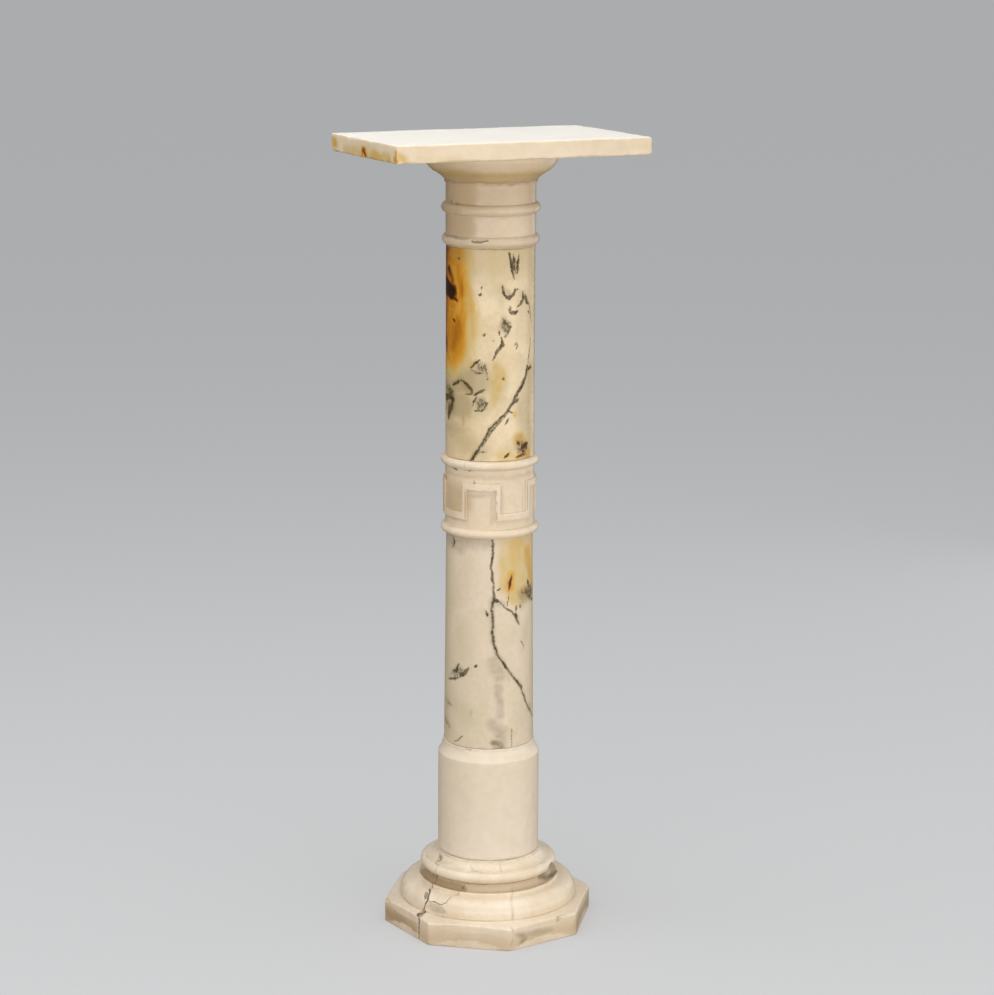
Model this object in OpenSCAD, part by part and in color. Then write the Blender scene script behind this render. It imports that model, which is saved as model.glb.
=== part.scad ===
// Turned alabaster and onyx pedestal column, in millimetres.
// It stands on the floor at z = 0, with the column's axis on Z and the top slab's long side on X.
// From the floor up: an octagonal moulded base, a plain drum, a lower shaft, a key-pattern band,
// an upper shaft, a capital and a rectangular top slab.

/* [Top slab] */
// Length of the slab, along X
slab_length = 354; // [200:1:500]
// Width of the slab, along Y
slab_width = 211; // [180:1:400]
// Thickness of the slab
slab_thickness = 23; // [12:0.5:50]

/* [Capital] */
// Height of the capital, from the upper shaft to the slab
capital_height = 116.5; // [112:0.5:180]
// Radius of the echinus where it meets the slab
echinus_radius = 86.5; // [74:0.5:100]
// Height of the echinus, without its top fillet
echinus_rise = 32; // [22:0.5:38]
// Height of the plain fillet over the echinus
echinus_fillet = 5; // [2:0.5:10]
// Radius of the plain neck
neck_radius = 58.2; // [52:0.1:66]
// How far the necking beads stand out of the neck
neck_bead_proud = 5.8; // [3:0.1:8]
// Height of each necking bead
neck_bead_height = 14; // [10:0.5:18]
// Height from the capital's foot to the middle of the upper bead
upper_bead_level = 48.5; // [34:0.5:66]

/* [Shafts] */
// Height of the upper shaft
upper_shaft_height = 274; // [150:0.5:400]
// Radius of the upper shaft at its foot
upper_shaft_foot = 58.2; // [50:0.1:66]
// Radius of the upper shaft at its head
upper_shaft_head = 57.7; // [50:0.1:66]
// Height of the lower shaft
lower_shaft_height = 283; // [150:0.5:400]
// Radius of the lower shaft at its foot
lower_shaft_foot = 59.6; // [50:0.1:60]
// Radius of the lower shaft at its head
lower_shaft_head = 57; // [50:0.1:60]

/* [Key band] */
// Height of the band
band_height = 102.5; // [90:0.5:140]
// Radius of the band between its edge beads
band_radius = 58.5; // [52:0.1:66]
// How far the edge beads stand out of the band
band_bead_proud = 5.8; // [3:0.1:8]
// Height of each edge bead
band_bead_height = 12.5; // [10:0.5:18]
// Number of times the key pattern repeats round the band
key_repeats = 4; // [3:1:6]
// Height of the key pattern
key_height = 48.5; // [36:0.5:56]
// Width of the raised line of the key pattern
key_line = 9; // [6:0.5:14]
// How far the key pattern stands out of the band
key_proud = 2.8; // [1:0.1:4]
// How far the key pattern sits below the middle of the band
key_drop = 2; // [0:0.5:2]

/* [Drum] */
// Height of the drum
drum_height = 152; // [80:0.5:220]
// Radius of the drum
drum_radius = 67.4; // [66:0.1:76]
// Height of the hollow moulding round the drum's head
drum_cove_height = 17.5; // [8:0.5:24]

/* [Base] */
// Distance across the flats of the octagonal plinth
plinth_across_flats = 261; // [246:1:320]
// Height of the plinth where the large torus stands on it
plinth_height = 34; // [24:0.5:50]
// Fall of the plinth's top from the torus to a corner
plinth_fall = 3.5; // [1:0.5:6]
// Radius of the large torus at its foot
torus_radius = 118.4; // [110:0.1:120]
// Height of the large torus
torus_height = 24; // [18:0.5:30]
// Radius of the narrow fillet over the large torus
base_fillet_radius = 94.5; // [90:0.1:98]
// Height of that fillet
base_fillet_height = 5; // [3:0.5:8]
// Height of the scotia, the deep hollow under the ring
scotia_height = 10.5; // [8:0.5:18]
// Depth of the scotia, in from the fillet above the torus
scotia_depth = 13; // [8:0.5:18]
// Radius of the ring over the scotia
ring_radius = 91; // [86:0.1:94]
// Height of that ring
ring_height = 14; // [10:0.5:18]
// Height of the hollow moulding between the ring and the drum
base_cove_height = 10; // [6:0.5:16]
// Height of the narrow lip round the drum's foot
base_lip_height = 1.5; // [1:0.5:3]
// Turn of the octagon from the slab's sides, in degrees
base_turn = 8.5; // [0:0.5:45]
// Turn of the broken place under the ring from X, in degrees
break_turn = -46; // [-180:1:180]
// Length of the broken place
break_length = 76; // [20:1:90]
// Height of the broken place, from the ring's underside
break_height = 7; // [3:0.5:9]
// Depth of the broken place, in from the ring's outside
break_depth = 7; // [2:0.5:8]
// Lean of the broken face from upright, in degrees
break_lean = 6; // [0:1:12]

/* [Hidden] */
$fn = 96;

// Steps in each curved stretch of an outline
arc_steps = 9;
// How far each curved stretch bows off its chord
torus_bow = 8.5;
base_cove_bow = 3.2;
drum_cove_bow = 1.2;
echinus_bow = 4.2;
// Radial margin from a stone's foot to the edge of the lip that it stands on
foot_margin = 1.6;
head_margin = 1.4;
// Set-back of each small fillet or worn edge
quirk = 1;
// Step that keeps the ground of the key pattern clear of the band's own wall
ground_step = 0.2;
// How far one solid runs into another that it is joined to
weld = 2;

base_height = plinth_height + torus_height + base_fillet_height + scotia_height
            + ring_height + base_cove_height + base_lip_height;
drum_z = base_height;
lower_shaft_z = drum_z + drum_height;
band_z = lower_shaft_z + lower_shaft_height;
upper_shaft_z = band_z + band_height;
capital_z = upper_shaft_z + upper_shaft_height;
slab_z = capital_z + capital_height;

// Radius of the lip at the base's head, round the drum's foot
base_lip_radius = drum_radius + foot_margin;
// Radius of the lip at the drum's head, round the lower shaft's foot
drum_lip_radius = lower_shaft_foot + head_margin;

// A circular arc from p to q, without p. Its middle stands bow off the chord, outwards where bow is positive.
function arc(p, q, bow) =
    let (
        chord = norm(q - p),
        along = (q - p) / chord,
        out = [along[1], -along[0]],
        radius = (chord * chord / 4 + bow * bow) / (2 * bow),
        sweep = 4 * atan(2 * bow / chord)
    )
    [for (i = [1 : arc_steps])
        let (a = (i / arc_steps - 0.5) * sweep)
        p + along * (radius * sin(a) + chord / 2) + out * (radius * cos(a) - radius + bow)];

// A bead of the given height, proud of a wall of radius r, from level z upwards.
function bead(r, z, height, proud) = concat([[r, z]], arc([r, z], [r, z + height], proud));

// A solid turned on the column's axis from an outline that runs up its outside.
module turned(outline) {
    foot = outline[0][1];
    head = outline[len(outline) - 1][1];
    rotate_extrude() polygon(concat([[0, foot]], outline, [[0, head]]));
}

// A sector of a ring, from radius r0 to r1 and from level z0 to z1.
module sector(r0, r1, z0, z1, start, sweep) {
    rotate([0, 0, start])
        rotate_extrude(angle = sweep)
            translate([r0, z0]) square([r1 - r0, z1 - z0]);
}

module plinth() {
    corner_radius = plinth_across_flats / 2 / cos(22.5);
    intersection() {
        rotate([0, 0, base_turn + 22.5])
            cylinder(h = plinth_height, r = corner_radius, $fn = 8);
        turned([
            [corner_radius + weld, 0],
            [corner_radius, plinth_height - plinth_fall],
            [torus_radius - weld, plinth_height]
        ]);
    }
}

module base_mouldings() {
    torus_z = plinth_height;
    fillet_z = torus_z + torus_height;
    scotia_z = fillet_z + base_fillet_height;
    ring_z = scotia_z + scotia_height;
    cove_z = ring_z + ring_height;
    ring_core = ring_radius - ring_height / 2;
    torus_foot = torus_radius - quirk;
    torus_head = base_fillet_radius + 2 * quirk;
    scotia_foot = base_fillet_radius - 2 * quirk;
    scotia_head = ring_core + quirk;
    // The scotia's deepest place is scotia_depth in from the fillet, which its chord is part of the way to.
    scotia_bow = scotia_depth - (base_fillet_radius - (scotia_foot + scotia_head) / 2);
    turned(concat(
        [[torus_foot, torus_z - weld], [torus_foot, torus_z]],
        arc([torus_foot, torus_z], [torus_head, fillet_z], torus_bow),
        [[base_fillet_radius, fillet_z], [base_fillet_radius, scotia_z], [scotia_foot, scotia_z]],
        arc([scotia_foot, scotia_z], [scotia_head, ring_z], -scotia_bow),
        arc([ring_core, ring_z], [ring_core, cove_z], ring_height / 2),
        arc([ring_core, cove_z + quirk], [base_lip_radius, cove_z + base_cove_height], -base_cove_bow),
        [[base_lip_radius, base_height]]
    ));
}

// The place where a piece of the ring's underside has broken away.
module ring_break() {
    ring_z = plinth_height + torus_height + base_fillet_height + scotia_height;
    rotate([0, 0, break_turn])
        translate([ring_radius - break_depth, -break_length / 2, ring_z - weld])
            rotate([0, break_lean, 0])
                cube([ring_radius / 4, break_length, break_height + weld]);
}

module base() {
    color("wheat")
        difference() {
            union() {
                plinth();
                base_mouldings();
            }
            ring_break();
        }
}

module drum() {
    shoulder = drum_height - drum_cove_height;
    color("linen")
        translate([0, 0, drum_z])
            turned(concat(
                [[drum_radius, 0], [drum_radius, shoulder - quirk]],
                arc([drum_radius, shoulder - quirk], [drum_radius - quirk, shoulder], quirk / 4),
                arc([drum_radius - quirk, shoulder], [drum_lip_radius, drum_height - quirk], -drum_cove_bow),
                [[drum_lip_radius, drum_height]]
            ));
}

module lower_shaft() {
    color("antiquewhite")
        translate([0, 0, lower_shaft_z])
            cylinder(h = lower_shaft_height, r1 = lower_shaft_foot, r2 = lower_shaft_head);
}

// The band's turned body, with a thick zone that the key pattern is cut into.
module band_body(key_z) {
    top_bead_z = band_height - band_bead_height;
    key_radius = band_radius + key_proud;
    turned(concat(
        bead(band_radius, 0, band_bead_height, band_bead_proud),
        [[band_radius, key_z], [key_radius, key_z],
         [key_radius, key_z + key_height], [band_radius, key_z + key_height]],
        bead(band_radius, top_bead_z, band_bead_height, band_bead_proud)
    ));
}

module key_band() {
    key_z = (band_height - key_height) / 2 - key_drop;
    cell = 180 / key_repeats;
    line_sweep = key_line / (band_radius + key_proud) * 180 / PI;
    color("linen")
        translate([0, 0, band_z])
            rotate([0, 0, base_turn + 22.5])
                difference() {
                    band_body(key_z);
                    // The cells between the upright lines are open at their foot and at their head by turns.
                    for (i = [0 : 2 * key_repeats - 1]) {
                        low = (i % 2 == 0) ? key_z - weld : key_z + key_line;
                        high = (i % 2 == 0) ? key_z + key_height - key_line : key_z + key_height + weld;
                        sector(band_radius + ground_step, band_radius + 2 * key_proud, low, high,
                            i * cell + line_sweep / 2, cell - line_sweep);
                    }
                }
}

module upper_shaft() {
    color("burlywood")
        translate([0, 0, upper_shaft_z])
            cylinder(h = upper_shaft_height, r1 = upper_shaft_foot, r2 = upper_shaft_head);
}

module capital() {
    upper_bead_z = upper_bead_level - neck_bead_height / 2;
    fillet_z = capital_height - echinus_fillet;
    echinus_z = fillet_z - echinus_rise;
    color("wheat")
        translate([0, 0, capital_z])
            turned(concat(
                [[neck_radius, 0]],
                bead(neck_radius, quirk, neck_bead_height, neck_bead_proud - quirk),
                bead(neck_radius, upper_bead_z, neck_bead_height, neck_bead_proud),
                [[neck_radius, echinus_z], [neck_radius + quirk, echinus_z + quirk]],
                arc([neck_radius + quirk, echinus_z + quirk], [echinus_radius, fillet_z], echinus_bow),
                [[echinus_radius, capital_height]]
            ));
}

module top_slab() {
    color("cornsilk")
        translate([-slab_length / 2, -slab_width / 2, slab_z])
            cube([slab_length, slab_width, slab_thickness]);
}

base();
drum();
lower_shaft();
key_band();
upper_shaft();
capital();
top_slab();
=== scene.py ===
"""A turned alabaster and onyx pedestal column in the Doric manner.

Seven stones stand on each other: a moulded octagonal base, a drum, a lower shaft, a key-pattern band,
an upper shaft, a capital and a top slab. Each stone is turned from one outline, or sawn from a block,
and then gets its wear, breaks, cracks, veins and stains, with painted shade, painted shadow and painted
top light in its colour. Outlines, marks and chips are given in
millimetres and degrees.
"""

from __future__ import annotations

import logging
import math
from dataclasses import dataclass, field, replace
from enum import Enum
from itertools import pairwise
from typing import Sequence

import bmesh
import bpy
import numpy as np
from mathutils import Matrix, Vector

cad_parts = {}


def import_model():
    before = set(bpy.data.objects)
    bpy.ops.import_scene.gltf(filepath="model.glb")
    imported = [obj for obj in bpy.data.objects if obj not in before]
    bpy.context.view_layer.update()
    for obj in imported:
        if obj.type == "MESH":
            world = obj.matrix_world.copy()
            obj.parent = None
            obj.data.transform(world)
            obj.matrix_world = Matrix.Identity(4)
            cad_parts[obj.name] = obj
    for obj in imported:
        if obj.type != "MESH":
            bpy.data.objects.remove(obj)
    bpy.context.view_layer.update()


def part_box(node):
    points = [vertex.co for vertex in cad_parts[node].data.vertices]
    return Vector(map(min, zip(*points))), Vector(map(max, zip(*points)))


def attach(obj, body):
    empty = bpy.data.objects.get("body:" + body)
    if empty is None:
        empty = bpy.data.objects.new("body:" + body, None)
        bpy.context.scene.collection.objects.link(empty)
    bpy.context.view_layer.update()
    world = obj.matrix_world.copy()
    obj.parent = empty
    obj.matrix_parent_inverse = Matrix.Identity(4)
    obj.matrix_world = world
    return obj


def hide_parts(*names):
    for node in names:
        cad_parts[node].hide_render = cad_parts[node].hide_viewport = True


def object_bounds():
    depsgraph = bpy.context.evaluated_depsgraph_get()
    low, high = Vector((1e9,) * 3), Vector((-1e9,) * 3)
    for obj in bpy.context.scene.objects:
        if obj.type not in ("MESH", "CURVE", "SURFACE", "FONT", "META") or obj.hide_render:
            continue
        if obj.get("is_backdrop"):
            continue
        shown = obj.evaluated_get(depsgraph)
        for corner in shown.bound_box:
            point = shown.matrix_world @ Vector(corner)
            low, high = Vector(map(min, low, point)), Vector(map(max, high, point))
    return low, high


LOG = logging.getLogger("column")
MM = 0.001
# Heading, from +X, of the side of the column that faces the camera
FRONT = -115.4
# Angle in degrees from which an edge is shaded sharp
SHARP_ANGLE = 50
# Edges count as at least this long, in millimetres, and a bend is measured over at least this span
SHORTEST_EDGE = 0.05
BEND_SPAN = 0.7
# How often bends are evened out with their neighbours', and how much they are then raised
BEND_ROUNDS = 3
BEND_GAIN = 6

Array = np.ndarray
Path = tuple[tuple[float, ...], ...]


class Slot(Enum):
    """The record's material slots."""

    CREAM = "cream_alabaster"
    PALE = "pale_alabaster"
    VEINED = "veined_onyx"
    AMBER = "amber_onyx"
    SLAB = "slab_alabaster"


class Tone(Enum):
    """What a mark is made of, or the painted shade it stands for. The first four share one attribute, and
    the last has its own.
    """

    VEIN = 0
    # Grey clouds in the stone, and painted shadow beside the key pattern and under the band's lower bead
    SMOKE_AND_SHADE = 1
    AMBER = 2
    # Soil, and painted shade in the base's scotia, under the slab and in the break under the ring
    GRIME_AND_SHADE = 3
    # A darker, warmer tone, and painted shade on the sides turned from the lamps and under the slab
    MELLOW_AND_SHADE = 4


# -----------------------------------------------------------------------------
# Outlines
# -----------------------------------------------------------------------------


@dataclass
class Outline:
    """The outside of a turned stone, drawn from the axis at its foot to the axis at its head."""

    corners: list[tuple[float, float, float]] = field(default_factory=list)

    def to(self, radius: float, height: float, ease: float = 0.0) -> Outline:
        """Runs straight to a corner.

        Args:
            radius: Distance of the corner from the axis.
            height: Height of the corner above the stone's foot.
            ease: How far from the corner the worn round edge starts, or 0 for a sharp corner.

        Returns:
            The outline, so that calls can be chained.
        """
        self.corners.append((radius, height, ease))
        return self

    def bow(self, radius: float, height: float, rise: float, steps: int = 10) -> Outline:
        """Runs along a circular arc.

        Args:
            radius: Distance of the arc's end from the axis.
            height: Height of the arc's end.
            rise: How far the arc's middle stands off its chord, outwards where it is positive.
            steps: Number of straight pieces that the arc is drawn with.

        Returns:
            The outline.
        """
        start = Vector(self.corners[-1][:2])
        end = Vector((radius, height))
        chord = (end - start).length
        along = (end - start) / chord
        out = Vector((along.y, -along.x))
        arc_radius = (chord * chord / 4 + rise * rise) / (2 * rise)
        sweep = 4 * math.atan(2 * rise / chord)
        for step in range(1, steps + 1):
            angle = (step / steps - 0.5) * sweep
            point = start + along * (arc_radius * math.sin(angle) + chord / 2)
            point += out * (arc_radius * math.cos(angle) - arc_radius + rise)
            self.corners.append((point.x, point.y, 0.0))
        return self

    def bead(self, radius: float, height: float, tall: float, proud: float) -> Outline:
        """Runs up to a height and draws a bead there, tall and proud of a wall of the given radius."""
        return self.to(radius, height).bow(radius, height + tall, proud, steps=14)

    def eased(self) -> list[Vector]:
        """The outline's points, with each worn corner drawn round."""
        points = [Vector(self.corners[0][:2])]
        for before, corner, after in zip(self.corners, self.corners[1:], self.corners[2:]):
            place = Vector(corner[:2])
            if corner[2] <= 0:
                points.append(place)
                continue
            back = Vector(before[:2]) - place
            on = Vector(after[:2]) - place
            start = place + back.normalized() * min(corner[2], back.length * 0.45)
            end = place + on.normalized() * min(corner[2], on.length * 0.45)
            for share in (0.0, 0.25, 0.5, 0.75, 1.0):
                points.append(start.lerp(place, share).lerp(place.lerp(end, share), share))
        points.append(Vector(self.corners[-1][:2]))
        return points

    def points(self, spacing: float) -> Array:
        """The outline with its long straight pieces divided.

        Args:
            spacing: The longest piece that is left.

        Returns:
            Rows of radius and height.
        """
        rows = []
        for start, end in pairwise(self.eased()):
            count = max(1, math.ceil((end - start).length / spacing))
            rows += [start.lerp(end, step / count) for step in range(count)]
        rows.append(Vector(self.corners[-1][:2]))
        return np.array([tuple(row) for row in rows])

    def run_of(self, radius: Array, height: Array) -> Array:
        """How far along the outline each place lies, from the outer edge of the foot.

        Args:
            radius: Distance of each place from the axis.
            height: Height of each place above the stone's foot.

        Returns:
            The length of outline from the first corner off the axis to the point nearest each place.
        """
        nearest = np.full(radius.shape, np.inf)
        run = np.zeros(radius.shape)
        length = -math.dist(self.corners[0][:2], self.corners[1][:2])
        for (r0, h0, _), (r1, h1, _) in pairwise(self.corners):
            piece = math.hypot(r1 - r0, h1 - h0)
            share = ((radius - r0) * (r1 - r0) + (height - h0) * (h1 - h0)) / max(piece * piece, 1e-9)
            share = np.clip(share, 0, 1)
            gap = np.hypot(radius - r0 - share * (r1 - r0), height - h0 - share * (h1 - h0))
            closer = gap < nearest
            nearest = np.where(closer, gap, nearest)
            run = np.where(closer, length + share * piece, run)
            length += piece
        return run


# -----------------------------------------------------------------------------
# Surfaces, marks and chips
# -----------------------------------------------------------------------------


def smooth(values: Array) -> Array:
    """A soft step from 0 to 1 as the values go from 0 to 1."""
    held = np.clip(values, 0, 1)
    return held * held * (3 - 2 * held)


def rough(places: Array, size: float, seed: int) -> Array:
    """Soft noise at each place, from waves that cross each other in many directions.

    Args:
        places: Rows of x, y and z in millimetres.
        size: Size of the noise's lumps in millimetres.
        seed: Sets one noise apart from another.

    Returns:
        Values from about -1 to 1.
    """
    chance = np.random.default_rng(seed)
    waves = chance.normal(size=(3, 14)) * 1.6 / size
    starts = chance.uniform(0, 2 * math.pi, 14)
    return np.sin(places @ waves + starts).sum(axis=1) / 4.4


class Surface:
    """The vertices of a stone and where each lies on it."""

    WAVER = ((11.0, 1.1), (3.5, 0.5))

    def __init__(self, places: Array) -> None:
        """Takes rows of x, y and z in millimetres from the stone's foot."""
        self.places = places
        self.shift = np.zeros(places.shape)

    def waver(self) -> None:
        """Sets how far each place reads its marks aside, so that lines and edges waver."""
        for size, reach in self.WAVER:
            for axis in range(3):
                self.shift[:, axis] += reach * rough(self.places, size, round(size) + axis)

    def offsets(self, start: Sequence[float], end: Sequence[float]) -> tuple[Array, Array]:
        """How far each place lies from a straight path, and its share of the path's length there."""
        origin = np.array(start)
        along = np.array(end) - origin
        away = self.places + self.shift - origin
        share = np.clip(away @ along / max(along @ along, 1e-9), 0, 1)
        return np.linalg.norm(away - share[:, None] * along, axis=1), share

    def near(self, path: Path) -> tuple[Array, Array]:
        """How near each place is to a path.

        Args:
            path: Points on the stone, in its own way of giving places.

        Returns:
            The distance in millimetres, and the share of the whole path at the nearest point.
        """
        best = np.full(len(self.places), np.inf)
        where = np.zeros(len(self.places))
        legs = len(path) - 1
        for leg, (start, end) in enumerate(pairwise(path)):
            gap, share = self.offsets(start, end)
            closer = gap < best
            best = np.where(closer, gap, best)
            where = np.where(closer, (leg + share) / legs, where)
        return best, where

    def inside(self, path: Path) -> Array:
        """Whether each place lies inside a closed path."""
        raise NotImplementedError


class TurnedSurface(Surface):
    """A turned stone's surface. Its places are turns right of the front and runs along the outline."""

    def __init__(self, places: Array, outline: Outline) -> None:
        """Works out the turn and the run of each place."""
        super().__init__(places)
        self.radius = np.hypot(places[:, 0], places[:, 1])
        self.turn = (np.degrees(np.arctan2(places[:, 1], places[:, 0])) - FRONT + 180) % 360 - 180
        self.run = outline.run_of(self.radius, places[:, 2])

    def across(self, turn: float) -> Array:
        """How far round the stone each place lies from a turn, in millimetres."""
        apart = (self.turn - turn + 180) % 360 - 180
        return np.radians(apart) * self.radius + self.shift[:, 0]

    def offsets(self, start: Sequence[float], end: Sequence[float]) -> tuple[Array, Array]:
        """How far each place lies from a path that is straight on the unrolled stone."""
        across = self.across(start[0])
        up = self.run + self.shift[:, 2] - start[1]
        wide = math.radians(end[0] - start[0]) * self.radius
        tall = end[1] - start[1]
        share = np.clip((across * wide + up * tall) / np.maximum(wide * wide + tall * tall, 1e-9), 0, 1)
        return np.hypot(across - share * wide, up - share * tall), share

    def inside(self, path: Path) -> Array:
        """Whether each place lies inside a closed path on the unrolled stone."""
        turn = self.turn + np.degrees(self.shift[:, 0] / np.maximum(self.radius, 1))
        run = self.run + self.shift[:, 2]
        within = np.zeros(turn.shape, bool)
        for (t0, s0), (t1, s1) in zip(path, path[1:] + path[:1]):
            if s0 == s1:
                continue
            crosses = (s0 > run) != (s1 > run)
            within ^= crosses & (turn < t0 + (run - s0) * (t1 - t0) / (s1 - s0))
        return within


@dataclass(frozen=True)
class Mark:
    """A vein, cloud, stain, crack or patch of painted shade that follows a path on a stone.

    Attributes:
        tone: What the mark is made of.
        path: Points on the stone.
        wide: Half the mark's width in millimetres, to where it is half as strong.
        soft: How far its edge takes to fade, in millimetres.
        strength: How strong it is at its middle, from 0 to 1.
        tapers: Whether it thins towards both ends.
        carve: How deep its middle is sunk into the stone, in millimetres.
    """

    tone: Tone
    path: Path
    wide: float = 0.8
    soft: float = 1.2
    strength: float = 1.0
    tapers: bool = True
    carve: float = 0.0

    def closeness(self, surface: Surface) -> Array:
        """How far into the mark each place lies, from 0 past its edge to 1 at its middle."""
        path = self.path if len(self.path) > 1 else self.path * 2
        gap, where = surface.near(path)
        width = self.wide * (0.35 + 0.65 * np.sin(np.pi * where)) if self.tapers else self.wide
        return smooth(0.5 + (width - gap) / self.soft)


@dataclass(frozen=True)
class Chip:
    """A place where stone has broken away.

    Attributes:
        path: The corners of the broken place, in order round it.
        depth: How far its floor lies under the old surface, in millimetres.
        core: The radius that its floor is cut back to, in place of a depth, or 0.
        brink: How wide the slope is from its edge to its floor, in millimetres.
        grime_and_shade: How dark its floor is, from 0 to 1: soil, and painted shadow in a break under an
            overhang.
    """

    path: Path
    depth: float = 2.0
    core: float = 0.0
    brink: float = 0.8
    grime_and_shade: float = 0.3

    def floor(self, surface: Surface) -> Array:
        """How far each place has sunk towards the chip's floor, from 0 outside it to 1."""
        gap, _ = surface.near(self.path + self.path[:1])
        return np.where(surface.inside(self.path), smooth(gap / self.brink), 0.0)


def all_round(run: float) -> Path:
    """A path right round a turned stone at one run."""
    return ((-180.0, run), (0.0, run), (180.0, run))


# -----------------------------------------------------------------------------
# Finishes
# -----------------------------------------------------------------------------


class Tree:
    """Adds nodes to a material or a node group, and links them."""

    def __init__(self, tree: bpy.types.NodeTree) -> None:
        """Takes the node tree to add to."""
        self.tree = tree

    def add(self, kind: str, **values: object) -> bpy.types.Node:
        """Adds a node.

        Args:
            kind: The node's type without its ShaderNode prefix, or its whole name.
            **values: Properties of the node.

        Returns:
            The node.
        """
        name = kind if kind.startswith("Node") else f"ShaderNode{kind}"
        node = self.tree.nodes.new(name)
        for key, value in values.items():
            setattr(node, key, value)
        return node

    def feed(self, socket: bpy.types.NodeSocket, value: object) -> None:
        """Links an output to a socket, or sets the socket's own value."""
        if isinstance(value, bpy.types.NodeSocket):
            self.tree.links.new(value, socket)
        else:
            socket.default_value = value

    def maths(self, operation: str, *values: object, clamp: bool = False) -> bpy.types.NodeSocket:
        """A Math node's result."""
        node = self.add("Math", operation=operation, use_clamp=clamp)
        for socket, value in zip(node.inputs, values):
            self.feed(socket, value)
        return node.outputs[0]

    def mix(self, factor: object, low: object, high: object, blend: str = "MIX") -> bpy.types.NodeSocket:
        """A colour between two colours."""
        node = self.add("Mix", data_type="RGBA", blend_type=blend)
        self.feed(node.inputs[0], factor)
        self.feed(node.inputs[6], low)
        self.feed(node.inputs[7], high)
        return node.outputs[2]

    def step(self, value: object, low: float, high: float, bottom: float = 0.0,
             top: float = 1.0) -> bpy.types.NodeSocket:
        """A value eased from bottom to top as another goes from low to high."""
        node = self.add("MapRange", interpolation_type="SMOOTHSTEP")
        for socket, number in zip(node.inputs, (value, low, high, bottom, top)):
            self.feed(socket, number)
        return node.outputs[0]

    def clouds(self, vector: object, scale: object, detail: float = 3.0, roughness: float = 0.5,
               distortion: float = 0.0) -> bpy.types.NodeSocket:
        """A noise texture's value."""
        node = self.add("TexNoise")
        self.feed(node.inputs["Vector"], vector)
        self.feed(node.inputs["Scale"], scale)
        node.inputs["Detail"].default_value = detail
        node.inputs["Roughness"].default_value = roughness
        node.inputs["Distortion"].default_value = distortion
        return node.outputs[0]

    def stretch(self, vector: object, scale: tuple[float, float, float]) -> bpy.types.NodeSocket:
        """Coordinates scaled by a Mapping node."""
        node = self.add("Mapping")
        self.feed(node.inputs["Vector"], vector)
        node.inputs["Scale"].default_value = scale
        return node.outputs[0]


class Effect:
    """A shader node group that several finishes use, built once."""

    name = "effect"
    takes: tuple[tuple[str, str, float], ...] = ()
    gives: tuple[str, ...] = ()

    def group(self) -> bpy.types.NodeTree:
        """The node group, made the first time that it is asked for."""
        found = bpy.data.node_groups.get(self.name)
        if found:
            return found
        group = bpy.data.node_groups.new(self.name, "ShaderNodeTree")
        for name, kind, value in self.takes:
            socket = group.interface.new_socket(name, in_out="INPUT", socket_type=f"NodeSocket{kind}")
            if kind == "Float":
                socket.default_value = value
        for name in self.gives:
            group.interface.new_socket(name, in_out="OUTPUT", socket_type="NodeSocketFloat")
        tree = Tree(group)
        inputs = tree.add("NodeGroupInput").outputs
        outputs = tree.add("NodeGroupOutput").inputs
        for name, result in self.build(tree, inputs).items():
            tree.feed(outputs[name], result)
        return group

    def build(self, tree: Tree, inputs: bpy.types.NodeOutputs) -> dict[str, bpy.types.NodeSocket]:
        """The result for each output's name."""
        raise NotImplementedError

    def place(self, tree: Tree, **values: object) -> bpy.types.NodeOutputs:
        """Places the group in a material and returns its outputs."""
        node = tree.add("Group", node_tree=self.group())
        for name, value in values.items():
            tree.feed(node.inputs[name], value)
        return node.outputs


class Clouding(Effect):
    """Soft clouds and fine mottling of a translucent stone."""

    name = "stone_clouding"
    takes = (("Vector", "Vector", 0.0), ("Size", "Float", 0.06), ("Mottle", "Float", 0.3))
    gives = ("Cloud", "Mottle")

    def build(self, tree: Tree, inputs: bpy.types.NodeOutputs) -> dict[str, bpy.types.NodeSocket]:
        """Two noises of different size, added up, and a third for the mottling."""
        scale = tree.maths("DIVIDE", 1.0, inputs["Size"])
        wide = tree.clouds(inputs["Vector"], scale, 3.0, 0.55, 0.6)
        fine = tree.clouds(inputs["Vector"], tree.maths("MULTIPLY", scale, 7.0), 4.0, 0.6)
        blend = tree.maths("MULTIPLY_ADD", tree.maths("SUBTRACT", fine, 0.5), inputs["Mottle"], wide)
        grain = tree.clouds(inputs["Vector"], tree.maths("MULTIPLY", scale, 9.0), 2.0, 0.5)
        return {"Cloud": tree.step(blend, 0.34, 0.66), "Mottle": grain}


class Veining(Effect):
    """Turns how near a vein is into a ragged dark line, and a fainter cluster into fine threads."""

    name = "stone_veining"
    takes = (("Vector", "Vector", 0.0), ("Closeness", "Float", 0.0), ("Ragged", "Float", 1.0))
    gives = ("Line", "Halo")

    def build(self, tree: Tree, inputs: bpy.types.NodeOutputs) -> dict[str, bpy.types.NodeSocket]:
        """The closeness, with noise and a net of threads added, cut off at a little over a half."""
        coarse = tree.clouds(inputs["Vector"], 260.0, 5.0, 0.65, 0.6)
        drift = tree.clouds(inputs["Vector"], 150.0, 4.0, 0.62, 1.4)
        away = tree.maths("ABSOLUTE", tree.maths("SUBTRACT", drift, 0.5))
        thread = tree.step(away, 0.0, 0.085, 0.2, -0.14)
        shake = tree.maths("MULTIPLY_ADD", tree.maths("SUBTRACT", coarse, 0.5), 1.7, thread)
        there = tree.maths("MULTIPLY", tree.step(inputs["Closeness"], 0.02, 0.3), inputs["Ragged"])
        edge = tree.maths("MULTIPLY_ADD", shake, there, inputs["Closeness"])
        faint = tree.step(tree.clouds(inputs["Vector"], 110.0, 2.0, 0.5), 0.36, 0.6, 1.0, 0.75)
        line = tree.maths("MULTIPLY", tree.step(edge, 0.34, 0.76), faint)
        return {"Line": line, "Halo": tree.step(inputs["Closeness"], 0.0, 0.8)}


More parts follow.
